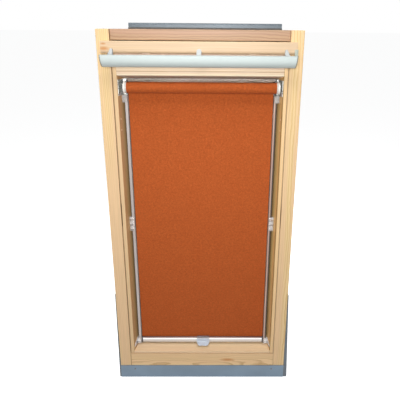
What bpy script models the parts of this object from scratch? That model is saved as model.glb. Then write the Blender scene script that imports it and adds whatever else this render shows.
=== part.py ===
"""Centre-pivot roof window with a spring roller blind mounted in its sash.

The window stands upright. +X is to the right seen from the room, the room is on the -Y side, +Z is up,
and the origin lies under the middle of the foot tray. All lengths are in metres.
"""
import math

import bmesh
import bpy
from mathutils import Matrix, Vector

# Clearances
SEAT_GAP = 0.0003
SASH_SIDE_GAP = 0.003
SASH_END_GAP = 0.004

# Frame
FRAME_WIDTH = 0.780
FRAME_HEIGHT = 1.600
FRAME_DEPTH = 0.105
POST_WIDTH = 0.0515
HEAD_HEIGHT = 0.040
HEAD_SETBACK = 0.008
SILL_TOP = 0.136
WOOD_ROUNDING = 0.002

# Foot tray, its screws and the flashings beside it
TRAY_SHEET = 0.0015
TRAY_HEIGHT = 0.068
TRAY_SCREW_INSET = 0.0115
TRAY_SCREW_SHIFT = 0.005
TRAY_SCREW_Z = 0.048
FLASHING_SHEET = 0.0012
FLASHING_HEIGHT = 0.460
FLASHING_LEG = 0.080
FLARE_FOOT_LEFT = 0.007
FLARE_TOP_LEFT = 0.0015
FLARE_FOOT_RIGHT = 0.0175
FLARE_TOP_RIGHT = 0.003

# Hood outside
HOOD_SHORTFALL = 0.177
HOOD_OFFSET = 0.016
HOOD_DEPTH = 0.045
HOOD_OVERLAP = 0.036
HOOD_RISE = 0.023
HOOD_WALL = 0.0015
HOOD_ROUNDING = 0.006

# Pivot
PIVOT_PLATE_WIDTH = 0.030
PIVOT_PLATE_HEIGHT = 0.090
PIVOT_PLATE_THICKNESS = 0.003
PIVOT_PIN_RADIUS = 0.006
PIVOT_PIN_ENTRY = 0.011

# Sash
SASH_DEPTH = 0.084
STILE_FACE = 0.0145
TOP_RAIL_FACE = 0.125
BOTTOM_RAIL_FACE = 0.010
REVEAL_DEPTH = 0.058
REVEAL_SPLAY = 0.016
REBATE_WIDTH = 0.017
RAIL_EDGE_ROUNDING = 0.005
STILE_EDGE_ROUNDING = 0.003
GROOVE_OFFSET = 0.016
GROOVE_SIZE = 0.002

# Glazing
PANE_THICKNESS = 0.004
PANE_EDGE_GAP = 0.0015
SPACER_THICKNESS = 0.014
SPACER_INSET = 0.003
SPACER_SHOWN = 0.018
GLAZING_COVER_SHEET = 0.002
GLAZING_COVER_LAP = 0.003

# Ventilation flap with its control bar
FLAP_SHORTFALL = 0.048
FLAP_OFFSET = -0.004
FLAP_HEIGHT = 0.045
FLAP_THICKNESS = 0.020
FLAP_AIR_GAP = 0.002
FLAP_TOP_GAP = 0.002
FLAP_SKIN = 0.003
FLAP_HINGE_SPACING = 0.400
FLAP_HINGE_WIDTH = 0.024
FLAP_BARREL_RADIUS = 0.0065
FLAP_NECK = 0.007
FLAP_PIN_RADIUS = 0.002
FLAP_PIN_LENGTH = 0.006
BAR_SHORTFALL = 0.001
BAR_HEIGHT = 0.044
BAR_BULGE = 0.015
BAR_WALL = 0.0018
BAR_STANDOFF = 0.024
BAR_DROP = 0.003
BAR_END_SLANT = 0.008
BAR_CAP = 0.0025
ARM_INSET = 0.0377
ARM_WIDTH = 0.017
MIDDLE_ARM_WIDTH = 0.018
ARM_HEIGHT = 0.021
ARM_ROOT = 0.0085
CLIP_WIDTH = 0.010
CLIP_RETURN = 0.012
CLIP_HEIGHT = 0.026
CLIP_SHEET = 0.0025

# Roller
ROLLER_DEPTH = 0.022
ROLLER_OFFSET = 0.004
ROLLER_DROP = 0.048
TUBE_RADIUS = 0.019
TUBE_WALL = 0.0012
ROLL_RADIUS = 0.0215
CLOTH_SIDE_GAP = 0.003
ROLL_SPREAD = 0.0045
CLOTH_THICKNESS = 0.0008
PLUG_FLANGE = 0.002
PLUG_FLANGE_RADIUS = 0.0205
PLUG_LENGTH = 0.025
AXLE_RADIUS = 0.003
AXLE_ENTRY = 0.006
SHAFT_LENGTH = 0.180
COLLAR_RADIUS = 0.0085
COLLAR_THICKNESS = 0.004
SPRING_RADIUS = 0.0065
SPRING_WIRE = 0.0009
SPRING_TURNS = 16

# Roller brackets
PLATE_FRONT = 0.005
PLATE_BACK = 0.0485
PLATE_HEIGHT = 0.062
PLATE_THICKNESS = 0.0015
PLATE_SCREW_FRONT = 0.036
PLATE_SCREW_SPACING = 0.036
HOLDER_RADIUS = 0.0225
HOLDER_WIDTH = 0.008
HOLDER_ROOM = 0.024
HOLDER_ROUNDING = 0.0025

# Guide rails and their holders
RAIL_ROOM = 0.0175
RAIL_WIDTH = 0.0125
RAIL_DEPTH = 0.019
RAIL_WALL = 0.0013
RAIL_SLOT = 0.008
RAIL_ROUNDING = 0.002
RAIL_FOOT_GAP = 0.002
RAIL_TOP_DROP = 0.0365
RAIL_HOLDER_WALL = 0.002
RAIL_HOLDER_SETBACK = 0.001
RAIL_HOLDER_FLANGE = 0.0018
RAIL_HOLDER_FRONT = 0.006
TOP_CAP_HEIGHT = 0.028
TOP_CAP_ROOF = 0.004
MIDDLE_CLIP_RISE = 0.626
MIDDLE_CLIP_HEIGHT = 0.064
FOOT_HEIGHT = 0.030
FOOT_TAB_HEIGHT = 0.012

# Bottom bar
BOTTOM_BAR_SIDE_GAP = 0.002
BOTTOM_BAR_HEIGHT = 0.031
BOTTOM_BAR_DEPTH = 0.017
BOTTOM_BAR_REST = 0.002
BOTTOM_BAR_WALL = 0.0015
BOTTOM_BAR_ROUNDING = 0.004
CLOTH_SLOT_WIDTH = 0.0024
CLOTH_SLOT_DEPTH = 0.005
GUIDE_FLANGE = 0.001
GUIDE_NECK = 0.006
GUIDE_SHOE_WIDTH = 0.0065
GUIDE_SHOE_DEPTH = 0.015
GUIDE_END_INSET = 0.002
GRIP_WIDTH = 0.063
GRIP_OFFSET = 0.003
GRIP_WALL = 0.003
GRIP_LIP = 0.017
GRIP_DROP = 0.0055
GRIP_CORNER = 0.009
GRIP_TAPER = 0.003

# Fasteners
SCREW_RADIUS = 0.002
SCREW_HEAD_RADIUS = 0.004
SCREW_HEAD_HEIGHT = 0.0018
SCREW_LENGTH = 0.012

# Places that follow from the sizes above
POST_INNER = FRAME_WIDTH / 2 - POST_WIDTH
WOOD_FOOT = TRAY_SHEET + SEAT_GAP
HEAD_BOTTOM = FRAME_HEIGHT - HEAD_HEIGHT
SASH_HALF = POST_INNER - SASH_SIDE_GAP
SASH_BOTTOM = SILL_TOP + SASH_END_GAP
SASH_TOP = HEAD_BOTTOM - SASH_END_GAP
PIVOT_Y = SASH_DEPTH / 2
PIVOT_Z = (SASH_BOTTOM + SASH_TOP) / 2

OPENING_HALF = SASH_HALF - STILE_FACE
OPENING_BOTTOM = SASH_BOTTOM + BOTTOM_RAIL_FACE
OPENING_TOP = SASH_TOP - TOP_RAIL_FACE
LIP_HALF = OPENING_HALF - REVEAL_SPLAY
LIP_BOTTOM = OPENING_BOTTOM + REVEAL_SPLAY
LIP_TOP = OPENING_TOP - REVEAL_SPLAY
PANE_HALF = LIP_HALF + REBATE_WIDTH - PANE_EDGE_GAP
PANE_BOTTOM = LIP_BOTTOM - REBATE_WIDTH + PANE_EDGE_GAP
PANE_TOP = LIP_TOP + REBATE_WIDTH - PANE_EDGE_GAP
INNER_PANE_Y = REVEAL_DEPTH + SEAT_GAP
SPACER_Y = INNER_PANE_Y + PANE_THICKNESS + SEAT_GAP
OUTER_PANE_Y = SPACER_Y + SPACER_THICKNESS + SEAT_GAP
GLASS_BACK = OUTER_PANE_Y + PANE_THICKNESS

HOOD_LENGTH = FRAME_WIDTH - HOOD_SHORTFALL
FLAP_LENGTH = FRAME_WIDTH - FLAP_SHORTFALL
FLAP_BACK = -FLAP_AIR_GAP
FLAP_FRONT = FLAP_BACK - FLAP_THICKNESS
FLAP_TOP = HEAD_BOTTOM - FLAP_TOP_GAP
FLAP_BOTTOM = FLAP_TOP - FLAP_HEIGHT
FLAP_AXIS_Y = (FLAP_FRONT + FLAP_BACK) / 2
FLAP_AXIS_Z = FLAP_BOTTOM + FLAP_THICKNESS / 2
BAR_LENGTH = FLAP_LENGTH - BAR_SHORTFALL
BAR_BACK = FLAP_FRONT - BAR_STANDOFF
BAR_TOP = FLAP_BOTTOM - BAR_DROP
BAR_MIDDLE = BAR_TOP - BAR_HEIGHT / 2

ROLLER_Z = OPENING_TOP - ROLLER_DROP
CLOTH_Y = ROLLER_DEPTH + ROLL_RADIUS + SEAT_GAP + CLOTH_THICKNESS / 2
RAIL_OUTER_FACE = OPENING_HALF - RAIL_ROOM
RAIL_INNER_FACE = RAIL_OUTER_FACE - RAIL_WIDTH
RAIL_FRONT = CLOTH_Y - RAIL_DEPTH / 2
RAIL_BACK = CLOTH_Y + RAIL_DEPTH / 2
RAIL_BOTTOM = LIP_BOTTOM + RAIL_FOOT_GAP
RAIL_TOP = ROLLER_Z - RAIL_TOP_DROP
MIDDLE_CLIP_Z = RAIL_BOTTOM + MIDDLE_CLIP_RISE
CLOTH_HALF = RAIL_INNER_FACE - CLOTH_SIDE_GAP
ROLL_HALF = CLOTH_HALF + ROLL_SPREAD
PLUG_END = ROLL_HALF + SEAT_GAP + PLUG_FLANGE
HOLDER_HALF = OPENING_HALF - HOLDER_ROOM
ROLLER_CENTRE = (ROLLER_OFFSET, ROLLER_DEPTH, ROLLER_Z)
BOTTOM_BAR_HALF = RAIL_INNER_FACE - BOTTOM_BAR_SIDE_GAP
BOTTOM_BAR_Z = RAIL_BOTTOM + BOTTOM_BAR_REST
BAR_TOP_Z = BOTTOM_BAR_Z + BOTTOM_BAR_HEIGHT

# Colours, as red, green, blue, with roughness and metallic
FINISHES = {
    "pine": ((0.82, 0.62, 0.38), 0.45, 0.0),
    "grey_paint": ((0.22, 0.27, 0.32), 0.45, 0.6),
    "aluminium": ((0.78, 0.79, 0.78), 0.30, 1.0),
    "steel": ((0.62, 0.62, 0.63), 0.30, 1.0),
    "glass": ((0.80, 0.88, 0.86), 0.05, 0.0),
    "white_plastic": ((0.88, 0.88, 0.86), 0.40, 0.0),
    "grey_plastic": ((0.62, 0.63, 0.63), 0.50, 0.0),
    "clear_plastic": ((0.78, 0.80, 0.82), 0.20, 0.0),
    "cloth": ((0.50, 0.11, 0.03), 0.85, 0.0),
}


def clear_scene():
    for item in list(bpy.data.objects):
        bpy.data.objects.remove(item, do_unlink=True)


def new_collection(name):
    collection = bpy.data.collections.new(name)
    bpy.context.scene.collection.children.link(collection)
    return collection


def move_to(piece, collection):
    for holder in list(piece.users_collection):
        holder.objects.unlink(piece)
    collection.objects.link(piece)


def finish_material(name):
    """The Principled material of a finish, made once."""
    material = bpy.data.materials.get(name)
    if material:
        return material
    colour, roughness, metallic = FINISHES[name]
    material = bpy.data.materials.new(name)
    material.use_nodes = True
    shader = material.node_tree.nodes["Principled BSDF"]
    shader.inputs["Base Color"].default_value = (*colour, 1.0)
    shader.inputs["Roughness"].default_value = roughness
    shader.inputs["Metallic"].default_value = metallic
    return material


def keep(piece, finish):
    """Files a finished piece in the window's collection with its finish."""
    piece.data.materials.clear()
    piece.data.materials.append(finish_material(finish))
    move_to(piece, WINDOW)
    return piece


def round_edges(piece, width, segments=2):
    bevel = piece.modifiers.new("edges", "BEVEL")
    bevel.width = width
    bevel.segments = segments
    bevel.limit_method = "ANGLE"
    bevel.angle_limit = math.radians(40)
    return piece


def box(name, low, high):
    """A box between two corners, with its scale applied."""
    centre = [(a + b) / 2 for a, b in zip(low, high)]
    bpy.ops.mesh.primitive_cube_add(size=1.0, location=centre)
    piece = bpy.context.object
    piece.name = name
    piece.scale = [abs(b - a) for a, b in zip(low, high)]
    bpy.ops.object.transform_apply(location=False, rotation=False, scale=True)
    return piece


def rod(name, start, end, radius, sides=24):
    """A cylinder between two points."""
    start, end = Vector(start), Vector(end)
    along = end - start
    bpy.ops.mesh.primitive_cylinder_add(vertices=sides, radius=radius, depth=along.length)
    piece = bpy.context.object
    piece.name = name
    turn = along.to_track_quat("Z", "Y").to_matrix().to_4x4()
    piece.matrix_world = Matrix.Translation((start + end) / 2) @ turn
    return piece


def fillet(before, corner, after, radius, step=18.0):
    """Points of the arc that rounds a corner of an outline."""
    to_before = (Vector(before) - Vector(corner)).normalized()
    to_after = (Vector(after) - Vector(corner)).normalized()
    half = to_before.angle(to_after) / 2
    reach = radius / math.tan(half)
    centre = Vector(corner) + (to_before + to_after).normalized() * (radius / math.sin(half))
    start = Vector(corner) + to_before * reach - centre
    end = Vector(corner) + to_after * reach - centre
    swing = start.angle_signed(end)
    count = max(2, round(abs(math.degrees(swing)) / step))
    points = []
    for index in range(count + 1):
        angle = -swing * index / count
        turned_x = start.x * math.cos(angle) - start.y * math.sin(angle)
        turned_y = start.x * math.sin(angle) + start.y * math.cos(angle)
        points.append((centre.x + turned_x, centre.y + turned_y))
    return points


def outline(corners):
    """An outline from corners given as (a, b) or, to round one, as (a, b, radius)."""
    points = []
    for index, corner in enumerate(corners):
        if len(corner) == 2:
            points.append(corner)
            continue
        before = corners[index - 1][:2]
        after = corners[(index + 1) % len(corners)][:2]
        points += fillet(before, corner[:2], after, corner[2])
    return points


def mirrored(points, side):
    """The outline with its first coordinate on the given side of the middle."""
    return [(side * a, b) for a, b in points]


# How a prism's flat outline stands in the window, by the axis that it is drawn out along
PRISM_TURN = {
    "X": Matrix(((0, 0, 1), (1, 0, 0), (0, 1, 0))),
    "Y": Matrix(((1, 0, 0), (0, 0, -1), (0, 1, 0))),
    "Z": Matrix(((1, 0, 0), (0, 1, 0), (0, 0, 1))),
}


def prism(name, points, axis, start, end, hole=None):
    """An outline in the other two axes, in X, Y, Z order, drawn out along an axis."""
    curve = bpy.data.curves.new(name, "CURVE")
    curve.dimensions = "2D"
    curve.fill_mode = "BOTH"
    curve.extrude = abs(end - start) / 2
    for loop in (points, hole):
        if loop is None:
            continue
        spline = curve.splines.new("POLY")
        spline.points.add(len(loop) - 1)
        for point, (a, b) in zip(spline.points, loop):
            point.co = (a, b, 0.0, 1.0)
        spline.use_cyclic_u = True
    drawn = bpy.data.objects.new(name + "_outline", curve)
    bpy.context.scene.collection.objects.link(drawn)
    middle = Vector([(start + end) / 2 if letter == axis else 0.0 for letter in "XYZ"])
    drawn.matrix_world = Matrix.Translation(middle) @ PRISM_TURN[axis].to_4x4()
    return meshed(drawn, name)


def meshed(drawn, name):
    """A curve turned into a closed mesh object of the given name."""
    bpy.context.view_layer.update()
    evaluated = drawn.evaluated_get(bpy.context.evaluated_depsgraph_get())
    mesh = bpy.data.meshes.new_from_object(evaluated)
    shape = bmesh.new()
    shape.from_mesh(mesh)
    bmesh.ops.remove_doubles(shape, verts=shape.verts, dist=0.00001)
    bmesh.ops.recalc_face_normals(shape, faces=shape.faces)
    shape.to_mesh(mesh)
    shape.free()
    piece = bpy.data.objects.new(name, mesh)
    bpy.context.scene.collection.objects.link(piece)
    piece.matrix_world = drawn.matrix_world
    bpy.data.objects.remove(drawn)
    return piece


def turned(name, profile, centre, side=1, steps=32):
    """A profile of (radius, distance along X) points, turned round an axis along X."""
    mesh = bpy.data.meshes.new(name)
    closed = profile[0][0] > 0
    edges = [(index, index + 1) for index in range(len(profile) - 1)]
    if closed:
        edges.append((len(profile) - 1, 0))
    mesh.from_pydata([(radius, 0.0, along) for radius, along in profile], edges, [])
    piece = bpy.data.objects.new(name, mesh)
    bpy.context.scene.collection.objects.link(piece)
    screw = piece.modifiers.new("turn", "SCREW")
    screw.axis = "Z"
    screw.steps = steps
    screw.render_steps = steps
    screw.use_merge_vertices = True
    screw.merge_threshold = 0.00001
    piece.location = centre
    piece.rotation_euler = (0.0, side * math.pi / 2, 0.0)
    return piece


def combine(piece, other, operation):
    """Joins, cuts or trims a piece with another shape, which becomes a hidden guide."""
    modifier = piece.modifiers.new(other.name, "BOOLEAN")
    modifier.operation = operation
    modifier.solver = "EXACT"
    modifier.object = other
    other.display_type = "WIRE"
    other.hide_render = True
    move_to(other, GUIDES)
    return piece


def cut(piece, other):
    return combine(piece, other, "DIFFERENCE")


def join(piece, other):
    return combine(piece, other, "UNION")


def trim(piece, other):
    return combine(piece, other, "INTERSECT")


def slice_off(piece, point, normal):
    """Cuts away what lies beyond a plane, and closes the cut."""
    inverse = piece.matrix_world.inverted()
    local_point = inverse @ Vector(point)
    local_normal = inverse.to_3x3() @ Vector(normal)
    shape = bmesh.new()
    shape.from_mesh(piece.data)
    everything = shape.verts[:] + shape.edges[:] + shape.faces[:]
    result = bmesh.ops.bisect_plane(
        shape, geom=everything, plane_co=local_point, plane_no=local_normal, clear_outer=True
    )
    rim = [item for item in result["geom_cut"] if isinstance(item, bmesh.types.BMEdge)]
    bmesh.ops.triangle_fill(shape, edges=rim, use_beauty=True)
    bmesh.ops.recalc_face_normals(shape, faces=shape.faces)
    shape.to_mesh(piece.data)
    shape.free()
    return piece


def carry(name, location, pieces):
    """An empty on a joint's axis, with the pieces that move on it as its children."""
    axis = bpy.data.objects.new(name, None)
    axis.location = location
    WINDOW.objects.link(axis)
    bpy.context.view_layer.update()
    for piece in pieces:
        piece.parent = axis
        piece.matrix_parent_inverse = axis.matrix_world.inverted()
    return axis


def side_name(stem, side):
    return stem + ("_left" if side < 0 else "_right")


def wood_screw_profile():
    """Half section of a screw whose head's underside is at 0 and whose shank runs to +X."""
    rim = SCREW_HEAD_RADIUS * 0.65
    return [
        (0.0, SCREW_LENGTH),
        (SCREW_RADIUS, SCREW_LENGTH - SCREW_RADIUS),
        (SCREW_RADIUS, 0.0),
        (SCREW_HEAD_RADIUS, 0.0),
        (rim, -SCREW_HEAD_HEIGHT),
        (0.0, -SCREW_HEAD_HEIGHT),
    ]


# Frame


def make_post(side):
    """One side post, with the pocket of its pivot plate."""
    inner = side * POST_INNER
    outer = side * FRAME_WIDTH / 2
    post = box(side_name("frame_post", side), (inner, 0.0, WOOD_FOOT), (outer, FRAME_DEPTH, FRAME_HEIGHT))
    round_edges(post, WOOD_ROUNDING)
    reach = inner - side * WOOD_ROUNDING
    depth = inner + side * (PIVOT_PLATE_THICKNESS + 2 * SEAT_GAP)
    pocket = prism(post.name + "_pocket", pivot_outline(SEAT_GAP), "X", min(reach, depth), max(reach, depth))
    cut(post, pocket)
    return keep(post, "pine")


def pivot_outline(grow):
    """The round-ended outline of a pivot plate in Y and Z, larger all round by grow."""
    half_width = PIVOT_PLATE_WIDTH / 2 + grow
    half_height = PIVOT_PLATE_HEIGHT / 2 + grow
    radius = half_width * 0.98
    return outline([
        (PIVOT_Y - half_width, PIVOT_Z - half_height, radius),
        (PIVOT_Y + half_width, PIVOT_Z - half_height, radius),
        (PIVOT_Y + half_width, PIVOT_Z + half_height, radius),
        (PIVOT_Y - half_width, PIVOT_Z + half_height, radius),
    ])


def make_head():
    half = POST_INNER - SEAT_GAP
    head = box("frame_head", (-half, HEAD_SETBACK, HEAD_BOTTOM), (half, FRAME_DEPTH, FRAME_HEIGHT))
    round_edges(head, WOOD_ROUNDING)
    return keep(head, "pine")


def make_sill():
    """The sill between the posts' feet, with pilot holes for the tray's screws."""
    half = POST_INNER - SEAT_GAP
    sill = box("frame_sill", (-half, 0.0, WOOD_FOOT), (half, FRAME_DEPTH, SILL_TOP))
    round_edges(sill, WOOD_ROUNDING)
    for side in (-1, 1):
        cut(sill, tray_screw_hole(side, "sill"))
    return keep(sill, "pine")


def tray_screw_x(side):
    return side * (POST_INNER - TRAY_SCREW_INSET) + TRAY_SCREW_SHIFT


def tray_screw_hole(side, owner):
    x = tray_screw_x(side)
    start = (x, -0.01, TRAY_SCREW_Z)
    end = (x, SCREW_LENGTH + SEAT_GAP, TRAY_SCREW_Z)
    return rod(side_name(owner + "_hole", side), start, end, SCREW_RADIUS + SEAT_GAP, 16)


def make_tray():
    """The folded metal tray that the posts and the sill stand in."""
    front = -SEAT_GAP - TRAY_SHEET
    back = FRAME_DEPTH + SEAT_GAP + TRAY_SHEET
    section = [
        (front, 0.0),
        (back, 0.0),
        (back, TRAY_HEIGHT),
        (back - TRAY_SHEET, TRAY_HEIGHT),
        (back - TRAY_SHEET, TRAY_SHEET),
        (front + TRAY_SHEET, TRAY_SHEET),
        (front + TRAY_SHEET, TRAY_HEIGHT),
        (front, TRAY_HEIGHT),
    ]
    tray = prism("bottom_apron", section, "X", -FRAME_WIDTH / 2, FRAME_WIDTH / 2)
    for side in (-1, 1):
        cut(tray, tray_screw_hole(side, "tray"))
    return keep(tray, "grey_paint")


def make_tray_screw(side):
    seat = (tray_screw_x(side), -2 * SEAT_GAP - TRAY_SHEET, TRAY_SCREW_Z)
    screw = turned(side_name("apron_screw", side), wood_screw_profile(), seat, steps=16)
    screw.rotation_euler = (-math.pi / 2, 0.0, 0.0)
    return keep(screw, "steel")


def make_flashing(side):
    """A side flashing: a leg along the post and a flange that flares out at the foot."""
    inner = FRAME_WIDTH / 2 + SEAT_GAP
    flare, top = (FLARE_FOOT_RIGHT, FLARE_TOP_RIGHT) if side > 0 else (FLARE_FOOT_LEFT, FLARE_TOP_LEFT)
    foot = inner + flare
    section = [
        (inner, 0.0),
        (foot, 0.0),
        (foot, FLASHING_SHEET),
        (inner + FLASHING_SHEET, FLASHING_SHEET),
        (inner + FLASHING_SHEET, FLASHING_LEG),
        (inner, FLASHING_LEG),
    ]
    name = side_name("side_flashing", side)
    flashing = prism(name, mirrored(section, side), "Z", 0.0, FLASHING_HEIGHT)
    slope = (side * FLASHING_HEIGHT, 0.0, flare - top)
    slice_off(flashing, (side * foot, 0.0, 0.0), slope)
    return keep(flashing, "grey_paint")


def make_hood():
    """The folded hood behind the head: closed ends, open underneath."""
    front = FRAME_DEPTH + SEAT_GAP
    back = front + HOOD_DEPTH
    top = FRAME_HEIGHT + HOOD_RISE
    bottom = FRAME_HEIGHT - HOOD_OVERLAP
    left = HOOD_OFFSET - HOOD_LENGTH / 2
    right = HOOD_OFFSET + HOOD_LENGTH / 2
    shell = outline([(front, bottom), (back, bottom), (back, top, HOOD_ROUNDING), (front, top, HOOD_ROUNDING)])
    hood = prism("top_hood", shell, "X", left, right)
    inner_rounding = HOOD_ROUNDING - HOOD_WALL
    hollow = outline([
        (front + HOOD_WALL, bottom - HOOD_WALL),
        (back - HOOD_WALL, bottom - HOOD_WALL),
        (back - HOOD_WALL, top - HOOD_WALL, inner_rounding),
        (front + HOOD_WALL, top - HOOD_WALL, inner_rounding),
    ])
    cut(hood, prism("hood_hollow", hollow, "X", left + HOOD_WALL, right - HOOD_WALL))
    return keep(hood, "grey_paint")


def make_pivot_plate(side):
    """The plate let into a post, with the pin that the sash swings on."""
    face = POST_INNER + SEAT_GAP
    back = face + PIVOT_PLATE_THICKNESS
    low, high = sorted((side * face, side * back))
    plate = prism(side_name("pivot_plate", side), pivot_outline(0.0), "X", low, high)
    start = (side * (face + PIVOT_PLATE_THICKNESS / 2), PIVOT_Y, PIVOT_Z)
    end = (side * (SASH_HALF - PIVOT_PIN_ENTRY), PIVOT_Y, PIVOT_Z)
    join(plate, rod(side_name("pivot_pin", side), start, end, PIVOT_PIN_RADIUS))
    return keep(plate, "steel")


# Sash


def stile_outline(side):
    """Section of a stile in X and Y: front face, splayed reveal, lip and glazing rebate."""
    rebate = LIP_HALF + REBATE_WIDTH
    section = outline([
        (SASH_HALF, 0.0, WOOD_ROUNDING),
        (SASH_HALF, SASH_DEPTH),
        (rebate, SASH_DEPTH),
        (rebate, REVEAL_DEPTH),
        (LIP_HALF, REVEAL_DEPTH),
        (OPENING_HALF, 0.0, STILE_EDGE_ROUNDING),
    ])
    return mirrored(section, side)


def stile_clearance(side):
    """What a stile takes up, and the seat gap round it, where the rails' ends are cut to it."""
    rebate = LIP_HALF + REBATE_WIDTH - SEAT_GAP
    margin = 0.01
    section = [
        (SASH_HALF + margin, -margin),
        (SASH_HALF + margin, SASH_DEPTH + margin),
        (rebate, SASH_DEPTH + margin),
        (rebate, REVEAL_DEPTH + SEAT_GAP),
        (LIP_HALF - SEAT_GAP * 1.1, REVEAL_DEPTH + SEAT_GAP),
        (OPENING_HALF - SEAT_GAP * 1.1, 0.0),
        (OPENING_HALF - SEAT_GAP * 1.1, -margin),
    ]
    return mirrored(section, side)


def make_stile(side):
    """A stile with the bores of its pivot pin and of the roller plate's screws."""
    stile = prism(side_name("sash_stile", side), stile_outline(side), "Z", SASH_BOTTOM, SASH_TOP)
    start = (side * (SASH_HALF + 0.01), PIVOT_Y, PIVOT_Z)
    end = (side * (SASH_HALF - PIVOT_PIN_ENTRY - SEAT_GAP), PIVOT_Y, PIVOT_Z)
    cut(stile, rod(side_name("pin_bore", side), start, end, PIVOT_PIN_RADIUS + SEAT_GAP, 32))
    for index, height in enumerate(plate_screw_heights()):
        start = reveal_point(side, PLATE_SCREW_FRONT, 0.01, height)
        end = reveal_point(side, PLATE_SCREW_FRONT, -SCREW_LENGTH + PLATE_THICKNESS, height)
        name = side_name("stile_hole_%d" % index, side)
        cut(stile, rod(name, start, end, SCREW_RADIUS + SEAT_GAP, 16))
    return keep(stile, "pine")


def make_rail(name, section):
    """A rail between the stiles, its ends cut to their section."""
    reach = LIP_HALF + REBATE_WIDTH
    rail = prism(name, outline(section), "X", -reach, reach)
    for side in (-1, 1):
        stile = stile_clearance(side)
        margin = 0.01
        cutter = prism(side_name(name + "_cope", side), stile, "Z", SASH_BOTTOM - margin, SASH_TOP + margin)
        cut(rail, cutter)
    return keep(rail, "pine")


def make_rails():
    rebate_top = LIP_TOP + REBATE_WIDTH
    groove = OPENING_TOP + GROOVE_OFFSET
    half_groove = GROOVE_SIZE / 2
    make_rail("sash_top_rail", [
        (0.0, SASH_TOP),
        (0.0, groove + half_groove),
        (GROOVE_SIZE, groove + half_groove),
        (GROOVE_SIZE, groove - half_groove),
        (0.0, groove - half_groove),
        (0.0, OPENING_TOP, RAIL_EDGE_ROUNDING),
        (REVEAL_DEPTH, LIP_TOP),
        (REVEAL_DEPTH, rebate_top),
        (SASH_DEPTH, rebate_top),
        (SASH_DEPTH, SASH_TOP),
    ])
    rebate_bottom = LIP_BOTTOM - REBATE_WIDTH
    make_rail("sash_bottom_rail", [
        (0.0, SASH_BOTTOM),
        (SASH_DEPTH, SASH_BOTTOM),
        (SASH_DEPTH, rebate_bottom),
        (REVEAL_DEPTH, rebate_bottom),
        (REVEAL_DEPTH, LIP_BOTTOM),
        (0.0, OPENING_BOTTOM, STILE_EDGE_ROUNDING),
    ])


def make_glazing():
    """Two panes with the spacer frame between their edges."""
    low, high = (-PANE_HALF, PANE_BOTTOM), (PANE_HALF, PANE_TOP)
    for name, front in (("inner_pane", INNER_PANE_Y), ("outer_pane", OUTER_PANE_Y)):
        pane = box(name, (low[0], front, low[1]), (high[0], front + PANE_THICKNESS, high[1]))
        keep(pane, "glass")
    rim = rectangle(PANE_HALF - SPACER_INSET, PANE_BOTTOM + SPACER_INSET, PANE_TOP - SPACER_INSET)
    hole = rectangle(LIP_HALF - SPACER_SHOWN, LIP_BOTTOM + SPACER_SHOWN, LIP_TOP - SPACER_SHOWN)
    spacer = prism("spacer_frame", rim, "Y", SPACER_Y, SPACER_Y + SPACER_THICKNESS, hole)
    keep(spacer, "aluminium")


def rectangle(half, bottom, top):
    return [(-half, bottom), (half, bottom), (half, top), (-half, top)]


def glazing_cover_section(inner, outer):
    """An angle that lies on the sash and steps down to the glass at its inner edge."""
    front = SASH_DEPTH + SEAT_GAP
    back = front + GLAZING_COVER_SHEET
    return [
        (outer, front),
        (outer, back),
        (inner, back),
        (inner, GLASS_BACK + SEAT_GAP),
        (inner + math.copysign(GLAZING_COVER_SHEET, outer - inner), GLASS_BACK + SEAT_GAP),
        (inner + math.copysign(GLAZING_COVER_SHEET, outer - inner), front),
    ]


def cover_notch(side, end, outer, inner):
    """Where a side cover's step stops short, so that its end lies flat on the rail."""
    margin = math.copysign(0.01, outer - inner)
    near = LIP_HALF - GLAZING_COVER_LAP
    low = (side * (near - 0.01), GLASS_BACK, min(outer + margin, inner))
    high = (side * (near + 0.01), SASH_DEPTH + SEAT_GAP, max(outer + margin, inner))
    return box(side_name("cover_notch_" + end, side), low, high)


def make_glazing_covers():
    """The four metal covers that hold the glass in the sash from outside."""
    inner = LIP_HALF - GLAZING_COVER_LAP
    section = glazing_cover_section(inner, SASH_HALF - PANE_EDGE_GAP)
    bottom, top = SASH_BOTTOM + PANE_EDGE_GAP, SASH_TOP - PANE_EDGE_GAP
    for side in (-1, 1):
        name = side_name("sash_cladding", side)
        cover = prism(name, mirrored(section, side), "Z", bottom, top)
        cut(cover, cover_notch(side, "bottom", bottom, LIP_BOTTOM - REBATE_WIDTH + SEAT_GAP))
        cut(cover, cover_notch(side, "top", top, LIP_TOP + REBATE_WIDTH - SEAT_GAP))
        keep(cover, "grey_paint")
    half = inner - SEAT_GAP
    edges = {
        "sash_cladding_top": (LIP_TOP - GLAZING_COVER_LAP, top),
        "sash_cladding_bottom": (LIP_BOTTOM + GLAZING_COVER_LAP, bottom),
    }
    for name, (near, far) in edges.items():
        section = [(y, z) for z, y in glazing_cover_section(near, far)]
        keep(prism(name, section, "X", -half, half), "grey_paint")


# Ventilation flap and control bar


def flap_hinge_places():
    half = FLAP_HINGE_SPACING / 2
    return ((-1, FLAP_OFFSET - half), (1, FLAP_OFFSET + half))


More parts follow.
